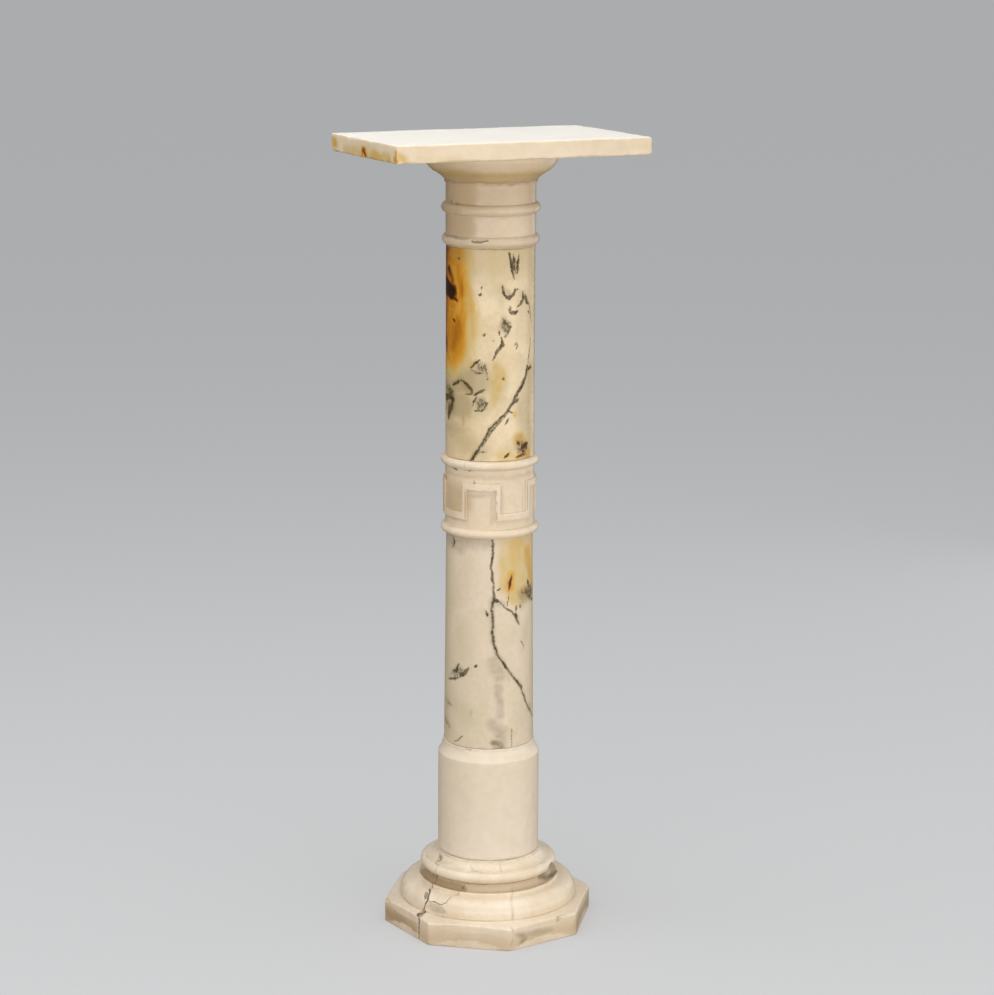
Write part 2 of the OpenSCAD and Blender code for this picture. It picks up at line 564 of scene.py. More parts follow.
class SoilingAndShade(Effect):
    """Soil and painted shade from the marks, and darkening in sharp hollows, broken up."""

    name = "stone_soiling_and_shade"
    takes = (
        ("Vector", "Vector", 0.0), ("Stain", "Float", 0.0), ("Hollow", "Float", 0.0),
        ("Patchy", "Float", 0.6),
    )
    gives = ("DirtShade", "Wear")

    def build(self, tree: Tree, inputs: bpy.types.NodeOutputs) -> dict[str, bpy.types.NodeSocket]:
        """The marks' soil and painted shade and the hollows' darkening, times a noise, and the convex
        edges, times another.
        """
        patches = tree.clouds(inputs["Vector"], 95.0, 5.0, 0.65, 0.5)
        uneven = tree.maths("MULTIPLY_ADD", tree.maths("SUBTRACT", patches, 0.5), inputs["Patchy"], 0.62)
        # Sharp hollows are darkened; the marks' channel adds soil and painted shade
        held = tree.step(inputs["Hollow"], 0.32, 1.0, 0.0, 0.45)
        amount = tree.maths("ADD", inputs["Stain"], held)
        dirt_and_shade = tree.maths("MULTIPLY", amount, tree.maths("MULTIPLY", uneven, 1.6), clamp=True)
        edge = tree.step(tree.maths("MULTIPLY", inputs["Hollow"], -1.0), 0.35, 0.9)
        return {"DirtShade": dirt_and_shade, "Wear": tree.maths("MULTIPLY", edge, uneven, clamp=True)}


Colour = tuple[float, float, float]


def opaque(colour: Colour) -> tuple[float, float, float, float]:
    """A colour with full alpha."""
    return (*colour, 1.0)


@dataclass(frozen=True)
class StoneFinish:
    """A polished stone, clouded, veined, stained and worn.

    Attributes:
        slot: The record's slot that takes this finish.
        pale: The stone's lightest colour.
        deep: Its colour where it clouds over.
        warm: The tint of its second, wider clouding.
        mellow_and_shade: Its colour where the stone is darker and warmer, also used as painted shade on the
            sides turned from the lamps and under the slab.
        cloud_size: Size of the clouds in metres.
        vein: Colour of a vein's middle.
        smoke_and_shade: Colour of the grey clouds, also used as painted shadow.
        grime_and_shade: Colour of the soil, also used as painted shade.
        roughness: Roughness of the clean, polished face.
        coat: How strong the waxed gloss over it is.
        ragged: How broken the veins' edges are.
        relief: Strength of the fine bump.
        glow: How much light passes under the surface.
        painted_top_light: How strongly painted top light pales its upward faces, from 0 to 1.
        painted_top_colour: The colour of that painted top light.
        sheen: How strongly its polish reflects, with 0.5 for plain stone.
        even: Share of that polish which lies on veins, soil and painted shade too. The rest is a coat that
            they dull.
    """

    slot: Slot
    pale: Colour
    deep: Colour
    warm: Colour
    cloud_size: float = 0.07
    mellow_and_shade: Colour = (0.60, 0.45, 0.27)
    vein: Colour = (0.085, 0.066, 0.04)
    smoke_and_shade: Colour = (0.33, 0.29, 0.23)
    grime_and_shade: Colour = (0.17, 0.125, 0.075)
    roughness: float = 0.3
    coat: float = 0.0
    ragged: float = 1.1
    relief: float = 0.012
    glow: float = 0.04
    painted_top_light: float = 0.0
    painted_top_colour: Colour = (0.97, 0.91, 0.80)
    sheen: float = 0.5
    even: float = 0.15

    def material(self) -> bpy.types.Material:
        """The material, made the first time that it is asked for."""
        name = f"{self.slot.value}_finish"
        found = bpy.data.materials.get(name)
        if found:
            return found
        made = bpy.data.materials.new(name)
        made.use_nodes = True
        made.node_tree.nodes.clear()
        tree = Tree(made.node_tree)
        place = tree.add("TexCoord").outputs["Object"]
        marks = tree.add("Attribute", attribute_name="marks")
        tones = tree.add("SeparateColor")
        tree.feed(tones.inputs[0], marks.outputs["Color"])
        hollow = tree.add("Attribute", attribute_name="hollow").outputs["Fac"]

        clouding = Clouding().place(tree, Vector=place, Size=self.cloud_size)
        veining = Veining().place(tree, Vector=place, Closeness=tones.outputs[0], Ragged=self.ragged)
        soiling_and_shade = SoilingAndShade().place(tree, Vector=place, Stain=marks.outputs["Alpha"], Hollow=hollow)

        colour = tree.mix(clouding["Cloud"], opaque(self.pale), opaque(self.deep))
        tinted = tree.step(tree.clouds(place, 0.6 / self.cloud_size, 2.0, 0.5), 0.42, 0.68)
        colour = tree.mix(tree.maths("MULTIPLY", tinted, 0.6), colour, opaque(self.warm))
        mottle = tree.step(clouding["Mottle"], 0.3, 0.7, 0.98, 1.02)
        colour = tree.mix(1.0, colour, self.grey(tree, mottle), "MULTIPLY")
        # Darker, warmer tone, and painted shade on the sides turned from the lamps and under the slab
        mellow_and_shade = tree.add("Attribute", attribute_name="mellow_and_shade").outputs["Fac"]
        colour = tree.mix(mellow_and_shade, colour, opaque(self.mellow_and_shade))
        colour = self.stained(tree, colour, place, tones.outputs[2])
        # Grey clouds, and painted shadow where the marks put it
        smoke_and_shade = tree.clouds(place, 70.0, 4.0, 0.6, 0.8)
        smoke_and_shade = tree.step(smoke_and_shade, 0.25, 0.7, 0.45, 1.15)
        smoke_and_shade = tree.maths("MULTIPLY", tones.outputs[1], smoke_and_shade, clamp=True)
        colour = tree.mix(smoke_and_shade, colour, opaque(self.smoke_and_shade))
        halo = tree.maths("MULTIPLY", veining["Halo"], 0.5)
        colour = tree.mix(halo, colour, opaque(self.smoke_and_shade))
        colour = tree.mix(tree.maths("MULTIPLY", veining["Line"], 0.92), colour, opaque(self.vein))
        facing = tree.add("SeparateXYZ")
        tree.feed(facing.inputs[0], tree.add("NewGeometry").outputs["Normal"])
        # Painted top light: faces that look up are paled towards a lighter colour
        if self.painted_top_light > 0:
            upper = tree.step(facing.outputs[2], 0.7, 0.97, 0.0, self.painted_top_light)
            colour = tree.mix(upper, colour, opaque(self.painted_top_colour))
        worn = tree.maths("MULTIPLY", soiling_and_shade["Wear"], 0.2)
        colour = tree.mix(worn, colour, opaque(self.pale))
        # Soil, and painted shade from the marks, darken the colour here
        dirt_and_shade = tree.maths("MULTIPLY", soiling_and_shade["DirtShade"], 0.85)
        colour = tree.mix(dirt_and_shade, colour, opaque(self.grime_and_shade))

        gloss = tree.step(clouding["Mottle"], 0.3, 0.75, self.roughness - 0.03, self.roughness + 0.06)
        gloss = tree.maths("MULTIPLY_ADD", soiling_and_shade["DirtShade"], 0.35, gloss, clamp=True)
        pits = tree.maths("MULTIPLY_ADD", veining["Line"], -0.6, tree.clouds(place, 60.0, 2.0, 0.5))
        bump = tree.add("Bump")
        bump.inputs["Strength"].default_value = self.relief
        bump.inputs["Distance"].default_value = 0.0006
        tree.feed(bump.inputs["Height"], pits)

        shader = tree.add("BsdfPrincipled")
        tree.feed(shader.inputs["Base Color"], colour)
        tree.feed(shader.inputs["Roughness"], gloss)
        tree.feed(shader.inputs["Normal"], bump.outputs[0])
        shader.inputs["IOR"].default_value = 1.5
        shader.inputs["Specular IOR Level"].default_value = self.even * self.sheen
        glaze = self.coat + 2 * (1 - self.even) * self.sheen
        if glaze > 0:
            dull = tree.maths("MAXIMUM", veining["Line"], soiling_and_shade["DirtShade"])
            polish = tree.maths("MULTIPLY_ADD", dull, (self.even - 1) * glaze, glaze, clamp=True)
            tree.feed(shader.inputs["Coat Weight"], polish)
        shader.inputs["Coat Roughness"].default_value = self.roughness
        shader.inputs["Subsurface Weight"].default_value = self.glow
        shader.inputs["Subsurface Radius"].default_value = (1.0, 0.75, 0.5)
        shader.inputs["Subsurface Scale"].default_value = 0.006
        output = tree.add("OutputMaterial")
        tree.feed(output.inputs["Surface"], shader.outputs[0])
        return made

    @staticmethod
    def grey(tree: Tree, value: bpy.types.NodeSocket) -> bpy.types.NodeSocket:
        """A grey of the given value."""
        node = tree.add("CombineColor")
        for socket in node.inputs:
            tree.feed(socket, value)
        return node.outputs[0]

    def stained(self, tree: Tree, colour: bpy.types.NodeSocket, place: bpy.types.NodeSocket,
                amount: bpy.types.NodeSocket) -> bpy.types.NodeSocket:
        """The colour where iron has stained the stone, from straw through amber to brown."""
        drift = tree.clouds(tree.stretch(place, (1.0, 1.0, 0.45)), 42.0, 4.0, 0.6, 0.6)
        level = tree.maths("MULTIPLY", amount, tree.step(drift, 0.28, 0.68, 0.68, 1.16), clamp=True)
        ramp = tree.add("ValToRGB")
        tree.feed(ramp.inputs[0], level)
        stops = (
            (0.0, (0.72, 0.57, 0.34)), (0.2, (0.63, 0.46, 0.17)), (0.4, (0.64, 0.33, 0.045)),
            (0.55, (0.56, 0.23, 0.012)), (0.7, (0.38, 0.13, 0.008)), (0.85, (0.16, 0.04, 0.004)),
            (1.0, (0.03, 0.007, 0.002)),
        )
        while len(ramp.color_ramp.elements) < len(stops):
            ramp.color_ramp.elements.new(0.5)
        for element, (position, tone) in zip(ramp.color_ramp.elements, stops):
            element.position = position
            element.color = opaque(tone)
        return tree.mix(tree.step(level, 0.0, 0.3), colour, ramp.outputs[0])


CREAM = StoneFinish(
    slot=Slot.CREAM, pale=(0.80, 0.68, 0.52), deep=(0.72, 0.59, 0.43), warm=(0.77, 0.63, 0.45),
    mellow_and_shade=(0.53, 0.38, 0.215), vein=(0.07, 0.045, 0.025), smoke_and_shade=(0.36, 0.30, 0.23), roughness=0.3,
    coat=0.1, sheen=0.3, cloud_size=0.06, ragged=0.4,
)
PALE = StoneFinish(
    slot=Slot.PALE, pale=(0.80, 0.68, 0.545), deep=(0.75, 0.64, 0.48), warm=(0.79, 0.67, 0.53),
    roughness=0.38, cloud_size=0.10, ragged=0.4,
)
VEINED = StoneFinish(
    slot=Slot.VEINED, pale=(0.74, 0.62, 0.475), deep=(0.67, 0.565, 0.395), warm=(0.71, 0.58, 0.44),
    mellow_and_shade=(0.58, 0.49, 0.32), roughness=0.32, cloud_size=0.06, vein=(0.055, 0.04, 0.02),
    smoke_and_shade=(0.30, 0.235, 0.155), glow=0.05, coat=0.1, sheen=0.28,
)
AMBER = StoneFinish(
    slot=Slot.AMBER, pale=(0.77, 0.62, 0.40), deep=(0.66, 0.52, 0.31), warm=(0.70, 0.54, 0.31),
    mellow_and_shade=(0.46, 0.355, 0.195), roughness=0.28, cloud_size=0.05, vein=(0.036, 0.024, 0.007),
    smoke_and_shade=(0.25, 0.18, 0.075), coat=0.1, glow=0.05, sheen=0.28, ragged=1.35,
)
SLAB = StoneFinish(
    slot=Slot.SLAB, pale=(0.80, 0.67, 0.50), deep=(0.72, 0.58, 0.40), warm=(0.76, 0.61, 0.40),
    roughness=0.34, cloud_size=0.14, ragged=0.4, painted_top_light=1.0, even=1.0,
)


# -----------------------------------------------------------------------------
# Stones
# -----------------------------------------------------------------------------


@dataclass
class Stone:
    """A stone of the column. It stands for the CAD node of the same name.

    Attributes:
        node: The CAD node's name.
        finish: What the stone is made of.
        marks: Veins, clouds, stains, cracks and painted shade on it.
        chips: Places where it is broken.
        waves: Size and height in millimetres of the soft unevenness of its faces.
        wear: How far its convex edges are worn back, in millimetres.
        mellow_and_shade: How far the whole stone is darkened, from 0 to 1, as a warmer tone and as painted
            shade.
        foot: Height of the stone's foot above the floor, in millimetres.
        refining: How near to a break the faces are divided, in millimetres, once for each number.
    """

    node: str
    finish: StoneFinish
    marks: tuple[Mark, ...] = ()
    chips: tuple[Chip, ...] = ()
    waves: tuple[tuple[float, float], ...] = ((70.0, 0.25), (18.0, 0.06))
    wear: float = 0.35
    mellow_and_shade: float = 0.0
    foot: float = 0.0
    refining: tuple[float, ...] = (3.0, 1.5)

    def build(self) -> bpy.types.Object:
        """Makes the stone's mesh, dresses it and puts it in the frame.

        Returns:
            The finished object.
        """
        self.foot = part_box(self.node)[0].z / MM
        bm = self.shape()
        for reach in self.refining:
            self.refine(bm, reach)
        mesh = bpy.data.meshes.new(f"{self.node}_stone")
        bm.to_mesh(mesh)
        bm.free()
        self.dress(mesh)
        made = bpy.data.objects.new(f"{self.node}_stone", mesh)
        bpy.context.scene.collection.objects.link(made)
        mesh.materials.append(self.finish.material())
        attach(made, "root")
        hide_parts(self.node)
        return made

    def shape(self) -> bmesh.types.BMesh:
        """The stone's plain shape, from its foot at height 0, in metres."""
        raise NotImplementedError

    def surface(self, places: Array) -> Surface:
        """The surface for rows of x, y and z in millimetres from the stone's foot."""
        raise NotImplementedError

    def refine(self, bm: bmesh.types.BMesh, reach: float) -> None:
        """Divides the faces near sharp marks and chips.

        Args:
            bm: The stone's mesh.
            reach: How near a face has to be, in millimetres.
        """
        surface = self.surface(np.array([tuple(vert.co) for vert in bm.verts]) / MM)
        surface.waver()
        hot = np.zeros(len(bm.verts), bool)
        for mark in self.marks:
            if mark.carve > 0:
                path = mark.path if len(mark.path) > 1 else mark.path * 2
                hot |= surface.near(path)[0] < mark.wide + mark.soft * 0.5 + reach
        for chip in self.chips:
            hot |= surface.near(chip.path + chip.path[:1])[0] < reach + 0.5
        bm.verts.index_update()
        edges = [edge for edge in bm.edges if all(hot[vert.index] for vert in edge.verts)]
        bmesh.ops.subdivide_edges(bm, edges=edges, cuts=1, use_grid_fill=True)
        bmesh.ops.triangulate(bm, faces=[face for face in bm.faces if len(face.verts) > 4])

    def dress(self, mesh: bpy.types.Mesh) -> None:
        """Wears, breaks and carves the stone, and writes its marks and hollows as attributes."""
        count = len(mesh.vertices)
        flat = np.empty(count * 3)
        mesh.vertices.foreach_get("co", flat)
        places = flat.reshape(-1, 3) / MM
        mesh.vertices.foreach_get("normal", flat)
        normals = flat.reshape(-1, 3).copy()
        surface = self.surface(places.copy())
        surface.waver()
        tones = np.zeros((count, len(Tone)))
        # Even darkening all over, partly painted shade
        tones[:, Tone.MELLOW_AND_SHADE.value] = self.mellow_and_shade
        sink = self.worn(mesh, places, normals)
        for mark in self.marks:
            near = mark.closeness(surface)
            channel = tones[:, mark.tone.value]
            np.maximum(channel, near * mark.strength, out=channel)
            sink = np.maximum(sink, near * mark.carve)
        tones[:, 1:] *= self.mark_share(surface)[:, None]
        places = places - normals * sink[:, None]
        lumps = 0.5 * rough(surface.places, 4.0, 2) + 0.3 * rough(surface.places, 1.6, 5)
        for chip in self.chips:
            floor = chip.floor(surface)
            if chip.core:
                radius = np.hypot(places[:, 0], places[:, 1])
                back = np.maximum(radius - chip.core - lumps, 0) * floor
                places[:, :2] *= (1 - back / np.maximum(radius, 1))[:, None]
            else:
                drop = floor * (chip.depth + lumps * min(chip.depth * 0.5, 1))
                places = places - normals * drop[:, None]
            np.maximum(tones[:, Tone.GRIME_AND_SHADE.value], floor * chip.grime_and_shade, out=tones[:, Tone.GRIME_AND_SHADE.value])
        places[:, 2] += self.foot
        mesh.vertices.foreach_set("co", (places * MM).ravel())
        marks = mesh.attributes.new("marks", "FLOAT_COLOR", "POINT")
        marks.data.foreach_set("color", tones[:, :4].astype(np.float32).ravel())
        hollow = mesh.attributes.new("hollow", "FLOAT", "POINT")
        hollow.data.foreach_set("value", self.hollows(mesh).astype(np.float32))
        mellow_and_shade = mesh.attributes.new("mellow_and_shade", "FLOAT", "POINT")
        mellow_and_shade.data.foreach_set("value", tones[:, Tone.MELLOW_AND_SHADE.value].astype(np.float32))
        mesh.shade_smooth()
        mesh.set_sharp_from_angle(angle=math.radians(SHARP_ANGLE))
        mesh.update()

    def worn(self, mesh: bpy.types.Mesh, places: Array, normals: Array) -> Array:
        """How far each vertex is sunk by the face's unevenness and its edges' wear, in millimetres."""
        sink = np.zeros(len(places))
        for size, height in self.waves:
            sink += height * np.clip(0.5 + 0.5 * rough(places, size, round(size)), 0, 1)
        edges = np.clip(-self.hollows(mesh), 0, 1)
        nicks = np.clip(0.35 + rough(places, 9.0, 3) + 0.6 * rough(places, 3.0, 4), 0, 1.5)
        return sink + self.wear * edges * nicks

    def mark_share(self, surface: Surface) -> Array:
        """How much of the marks' tints and painted shade each vertex takes, from 0 to 1."""
        return np.ones(len(surface.places))

    @staticmethod
    def hollows(mesh: bpy.types.Mesh) -> Array:
        """How hollow the surface is at each vertex, from -1 on a sharp edge to 1 in a sharp hollow."""
        count = len(mesh.vertices)
        flat = np.empty(count * 3)
        mesh.vertices.foreach_get("co", flat)
        places = flat.reshape(-1, 3) / MM
        mesh.vertices.foreach_get("normal", flat)
        normals = flat.reshape(-1, 3)
        ends = np.empty(len(mesh.edges) * 2, np.int32)
        mesh.edges.foreach_get("vertices", ends)
        first, second = ends.reshape(-1, 2).T
        away = places[second] - places[first]
        length = np.maximum(np.linalg.norm(away, axis=1), SHORTEST_EDGE)
        degree = np.bincount(first, minlength=count) + np.bincount(second, minlength=count)
        bend = np.zeros(count)
        for here, lean in ((first, 1), (second, -1)):
            rise = lean * np.einsum("ij,ij->i", away, normals[here]) / length
            bend += np.bincount(here, rise / np.maximum(length, BEND_SPAN), minlength=count)
        bend /= np.maximum(degree, 1)
        for _ in range(BEND_ROUNDS):
            total = np.bincount(first, bend[second], minlength=count)
            total += np.bincount(second, bend[first], minlength=count)
            bend = 0.5 * bend + 0.5 * total / np.maximum(degree, 1)
        return np.clip(bend * BEND_GAIN, -1, 1)


@dataclass
class TurnedStone(Stone):
    """A stone turned round the column's axis.

    Attributes:
        steps: Number of faces round the stone.
        spacing: The most that two rows of faces lie apart, in millimetres.
    """

    steps: int = 256
    spacing: float = 2.2

    def outline(self) -> Outline:
        """The stone's outside, from its foot to its head."""
        raise NotImplementedError

    def sectors(self) -> list[tuple[float, int]]:
        """The sweeps in degrees that the stone is turned in, and the faces in each."""
        return [(360.0, self.steps)]

    def start(self) -> float:
        """The heading in degrees that the turning starts at."""
        return FRONT + 180

    def shape(self) -> bmesh.types.BMesh:
        """The outline, spun round the axis."""
        bm = bmesh.new()
        start = Matrix.Rotation(math.radians(self.start()), 3, "Z")
        column = [
            bm.verts.new(start @ Vector((radius, 0, height)) * MM)
            for radius, height in self.outline().points(self.spacing)
        ]
        front = column + [bm.edges.new(pair) for pair in pairwise(column)]
        for sweep, steps in self.sectors():
            spun = bmesh.ops.spin(
                bm, geom=front, cent=(0, 0, 0), axis=(0, 0, 1), angle=math.radians(sweep), steps=steps,
                use_merge=sweep == 360,
            )
            front = spun["geom_last"]
        bmesh.ops.remove_doubles(bm, verts=bm.verts, dist=2e-5)
        bmesh.ops.recalc_face_normals(bm, faces=bm.faces)
        return bm

    def surface(self, places: Array) -> TurnedSurface:
        """The turned surface for rows of x, y and z in millimetres."""
        return TurnedSurface(places, self.outline())


@dataclass
class Shaft(TurnedStone):
    """A plain shaft that tapers a little.

    Attributes:
        foot_radius: Radius at the foot.
        head_radius: Radius at the head.
        height: Height of the shaft.
    """

    foot_radius: float = 58.0
    head_radius: float = 58.0
    height: float = 270.0
    steps: int = 280
    spacing: float = 1.3

    def outline(self) -> Outline:
        """A straight side with eased ends."""
        return (
            Outline()
            .to(0, 0)
            .to(self.foot_radius, 0, ease=0.8)
            .to(self.head_radius, self.height, ease=0.8)
            .to(0, self.height)
        )


@dataclass
class Drum(TurnedStone):
    """The plain drum, with a hollow moulding round its head."""

    radius: float = 67.4
    lip_radius: float = 61.0
    height: float = 152.0
    cove_height: float = 17.5
    quirk: float = 1.0

    def outline(self) -> Outline:
        """The wall, the hollow moulding and the lip."""
        shoulder = self.height - self.cove_height
        return (
            Outline()
            .to(0, 0)
            .to(self.radius, 0, ease=1.2)
            .to(self.radius, shoulder, ease=1.8)
            .bow(self.lip_radius, self.height - self.quirk, -1.2)
            .to(self.lip_radius, self.height, ease=0.6)
            .to(0, self.height)
        )


@dataclass
class KeyBand(TurnedStone):
    """The band with an edge bead at each end and a raised key pattern."""

    radius: float = 58.5
    height: float = 102.5
    bead_height: float = 12.5
    bead_proud: float = 5.8
    repeats: int = 4
    key_height: float = 48.5
    key_line: float = 9.0
    key_proud: float = 2.8
    key_drop: float = 2.0
    base_turn: float = 8.5

    def mark_share(self, surface: Surface) -> Array:
        """The raised lines take three tenths of the marks that the wall takes, and so show lighter."""
        proud = np.hypot(surface.places[:, 0], surface.places[:, 1]) - self.radius
        return np.where(proud > 1.4, 0.3, 1.0)

    def key_foot(self) -> float:
        """Height of the key pattern's foot."""
        return (self.height - self.key_height) / 2 - self.key_drop

    def outline(self) -> Outline:
        """The wall between the two beads, with a row at each edge of the key pattern's lines."""
        low = self.key_foot()
        high = low + self.key_height
        made = Outline().to(0, 0).bead(self.radius, 0, self.bead_height, self.bead_proud)
        for level in (low, low + self.key_line, high - self.key_line, high):
            made.to(self.radius, level)
        top = self.height - self.bead_height
        return made.bead(self.radius, top, self.bead_height, self.bead_proud).to(0, self.height)

    def line_sweep(self) -> float:
        """The angle that an upright line takes, in degrees."""
        return math.degrees(self.key_line / (self.radius + self.key_proud))

    def sectors(self) -> list[tuple[float, int]]:
        """An upright line and a cell by turns."""
        cell = 180 / self.repeats
        line = self.line_sweep()
        return [(line, 8), (cell - line, 24)] * (2 * self.repeats)

    def start(self) -> float:
        """The near edge of the first upright line."""
        return self.base_turn + 22.5 - self.line_sweep() / 2

    def on_line(self, place: Vector) -> bool:
        """Whether a place on the wall belongs to a raised line."""
        height = place.z / MM - self.key_foot()
        if not 0 < height < self.key_height or place.xy.length < self.radius * MM * 0.9:
            return False
        heading = math.degrees(math.atan2(place.y, place.x)) - self.start()
        cell, turn = divmod(heading % 360, 180 / self.repeats)
        if turn < self.line_sweep():
            return True
        at_top = height > self.key_height - self.key_line
        return at_top if cell % 2 == 0 else height < self.key_line

    def shape(self) -> bmesh.types.BMesh:
        """The turned band, with the key pattern drawn out of its wall and its edges eased."""
        bm = super().shape()
        lines = [face for face in bm.faces if self.on_line(face.calc_center_median())]
        drawn = bmesh.ops.extrude_face_region(bm, geom=lines)["geom"]
        bmesh.ops.delete(bm, geom=lines, context="FACES")
        tops = {item for item in drawn if isinstance(item, bmesh.types.BMFace)}
        for vert in [item for item in drawn if isinstance(item, bmesh.types.BMVert)]:
            vert.co.xy *= (self.radius + self.key_proud) / self.radius
        rim = [edge for edge in bm.edges if len(tops.intersection(edge.link_faces)) == 1]
        bmesh.ops.bevel(
            bm, geom=rim, offset=1.5 * MM, segments=3, profile=0.5, affect="EDGES", material=-1,
        )
        bmesh.ops.recalc_face_normals(bm, faces=bm.faces)
        return bm


@dataclass
class Capital(TurnedStone):
    """Two necking beads, a plain neck and the echinus."""

    neck_radius: float = 58.2
    echinus_radius: float = 86.5
    height: float = 116.5
    echinus_rise: float = 32.0
    echinus_fillet: float = 5.0
    bead_height: float = 14.0
    bead_proud: float = 5.8
    bead_level: float = 48.5
    collar: float = 1.8
    collar_height: float = 4.5
    crease_out: float = 17.5
    crease_rise: float = 16.0
    quirk: float = 1.0

    def outline(self) -> Outline:
        """The beads, the neck, the echinus in three mouldings, and its fillet."""
        neck = self.neck_radius
        fillet = self.height - self.echinus_fillet
        echinus = fillet - self.echinus_rise
        crease_radius = neck + self.crease_out
        crease = echinus + self.crease_rise
        return (
            Outline()
            .to(0, 0)
            .to(neck, 0)
            .bead(neck, self.quirk, self.bead_height, self.bead_proud - self.quirk)
            .bead(neck, self.bead_level - self.bead_height / 2, self.bead_height, self.bead_proud)
            .to(neck, echinus)
            .to(neck + self.collar, echinus + self.quirk, ease=0.5)
            .to(neck + self.collar, echinus + self.collar_height, ease=0.5)
            .bow(crease_radius, crease, -1.0)
            .to(crease_radius + self.quirk / 2, crease + self.quirk)
            .bow(self.echinus_radius, fillet, 1.8)
            .to(self.echinus_radius, self.height, ease=0.5)
            .to(0, self.height)
        )


@dataclass
class Base(TurnedStone):
    """The octagonal plinth with its torus, fillet, scotia, ring and cove."""

    across_flats: float = 261.0
    base_turn: float = 8.5
    plinth_height: float = 34.0
    plinth_fall: float = 3.5
    torus_radius: float = 118.4
    torus_height: float = 24.0
    torus_bow: float = 8.5
    fillet_radius: float = 94.5
    fillet_height: float = 5.0
    scotia_height: float = 10.5
    scotia_depth: float = 13.0
    ring_radius: float = 91.0
    ring_height: float = 14.0
    cove_height: float = 10.0
    cove_bow: float = 3.2
    lip_radius: float = 69.0
    lip_height: float = 1.5
    quirk: float = 1.0

    def corner_radius(self) -> float:
        """Distance of the octagon's corners from the axis."""
        return self.across_flats / 2 / math.cos(math.pi / 8)

    def outline(self) -> Outline:
        """The plinth as if it were round, and the mouldings on it."""
        corner = self.corner_radius()
        torus_foot = self.torus_radius - self.quirk
        fillet = self.plinth_height + self.torus_height
        scotia = fillet + self.fillet_height
        ring = scotia + self.scotia_height
        cove = ring + self.ring_height
        head = cove + self.cove_height
        core = self.ring_radius - self.ring_height / 2
        scotia_foot = self.fillet_radius - 2 * self.quirk
        scotia_head = core + self.quirk
        scotia_bow = self.scotia_depth - (self.fillet_radius - (scotia_foot + scotia_head) / 2)
        return (
            Outline()
            .to(0, 0)
            .to(corner, 0, ease=1.0)
            .to(corner, self.plinth_height - self.plinth_fall, ease=2.2)
            .to(torus_foot, self.plinth_height)
            .bow(self.fillet_radius + 2 * self.quirk, fillet, self.torus_bow, steps=16)
            .to(self.fillet_radius, fillet)
            .to(self.fillet_radius, scotia, ease=0.9)
            .to(scotia_foot, scotia)
            .bow(scotia_head, ring, -scotia_bow)
            .to(core, ring)
            .bow(core, cove, self.ring_height / 2, steps=16)
            .to(core, cove + self.quirk, ease=0.3)
            .bow(self.lip_radius, head, -self.cove_bow)
            .to(self.lip_radius, head + self.lip_height, ease=0.5)
            .to(0, head + self.lip_height)
        )

    def sectors(self) -> list[tuple[float, int]]:
        """Fine faces on both sides of each of the octagon's corners, and wider ones between."""
        return [(2.0, 5), (41.0, 30), (2.0, 5)] * 8

    def start(self) -> float:
        """The heading of one of the octagon's corners."""
        return self.base_turn + 22.5 - 180

    def shape(self) -> bmesh.types.BMesh:
        """The turned base, with its plinth pushed back to an octagon."""
        bm = super().shape()
        inner = self.torus_radius - self.quirk
        corner = self.corner_radius()
        edge = self.plinth_height - self.plinth_fall
        slope = self.plinth_fall / (corner - inner)
        for vert in bm.verts:
            radius = vert.co.xy.length / MM
            if radius <= inner + 0.01 or vert.co.z / MM > self.plinth_height + 0.01:
                continue
            heading = math.atan2(vert.co.y, vert.co.x)
            moved = inner + (radius - inner) * (self.octagon(heading) - inner) / (corner - inner)
            vert.co.xy *= moved / radius
            vert.co.z += slope * (radius - moved) * min(vert.co.z / MM / edge, 1) * MM
        return bm

    def octagon(self, heading: float) -> float:
        """Distance in millimetres from the axis to the octagon's side, with its corners a little worn."""
        sharpness = 240
        flats = [math.cos(heading - math.radians(self.base_turn + 45 * side)) for side in range(8)]
        total = sum(max(flat, 0) ** sharpness for flat in flats)
        return self.across_flats / 2 / total ** (1 / sharpness)


@dataclass
class Slab(Stone):
    """The sawn top slab, with worn edges."""

    cell: float = 4.0
    ease: float = 1.8

    def shape(self) -> bmesh.types.BMesh:
        """A block of the node's size, divided into cells, with its twelve edges eased."""
        low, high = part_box(self.node)
        size = high - low
        bm = bmesh.new()
        bmesh.ops.create_cube(bm, size=1.0)
        bmesh.ops.translate(bm, verts=bm.verts, vec=(0, 0, 0.5))
        bmesh.ops.scale(bm, verts=bm.verts, vec=size)
        for axis in range(3):
            along = [
                edge for edge in bm.edges
                if abs((edge.verts[1].co - edge.verts[0].co)[axis]) > size[axis] * 0.5
            ]
            cuts = round(size[axis] / MM / self.cell) - 1
            bmesh.ops.subdivide_edges(bm, edges=along, cuts=cuts, use_grid_fill=True)
        corners = [edge for edge in bm.edges if edge.calc_face_angle(0) > 1]
        bmesh.ops.bevel(
            bm, geom=corners, offset=self.ease * MM, segments=3, profile=0.5, affect="EDGES", material=-1,
        )
        bmesh.ops.recalc_face_normals(bm, faces=bm.faces)
        return bm

    def surface(self, places: Array) -> Surface:
        """The slab's surface, whose marks are placed by x, y and height."""
        return Surface(places)


# -----------------------------------------------------------------------------
# The column's own stones
# -----------------------------------------------------------------------------


def veins(*paths: Path, wide: float = 1.0, soft: float = 3.2, **values: float) -> tuple[Mark, ...]:
    """Dark veins of one width."""
    return tuple(Mark(Tone.VEIN, path, wide=wide, soft=soft, **values) for path in paths)


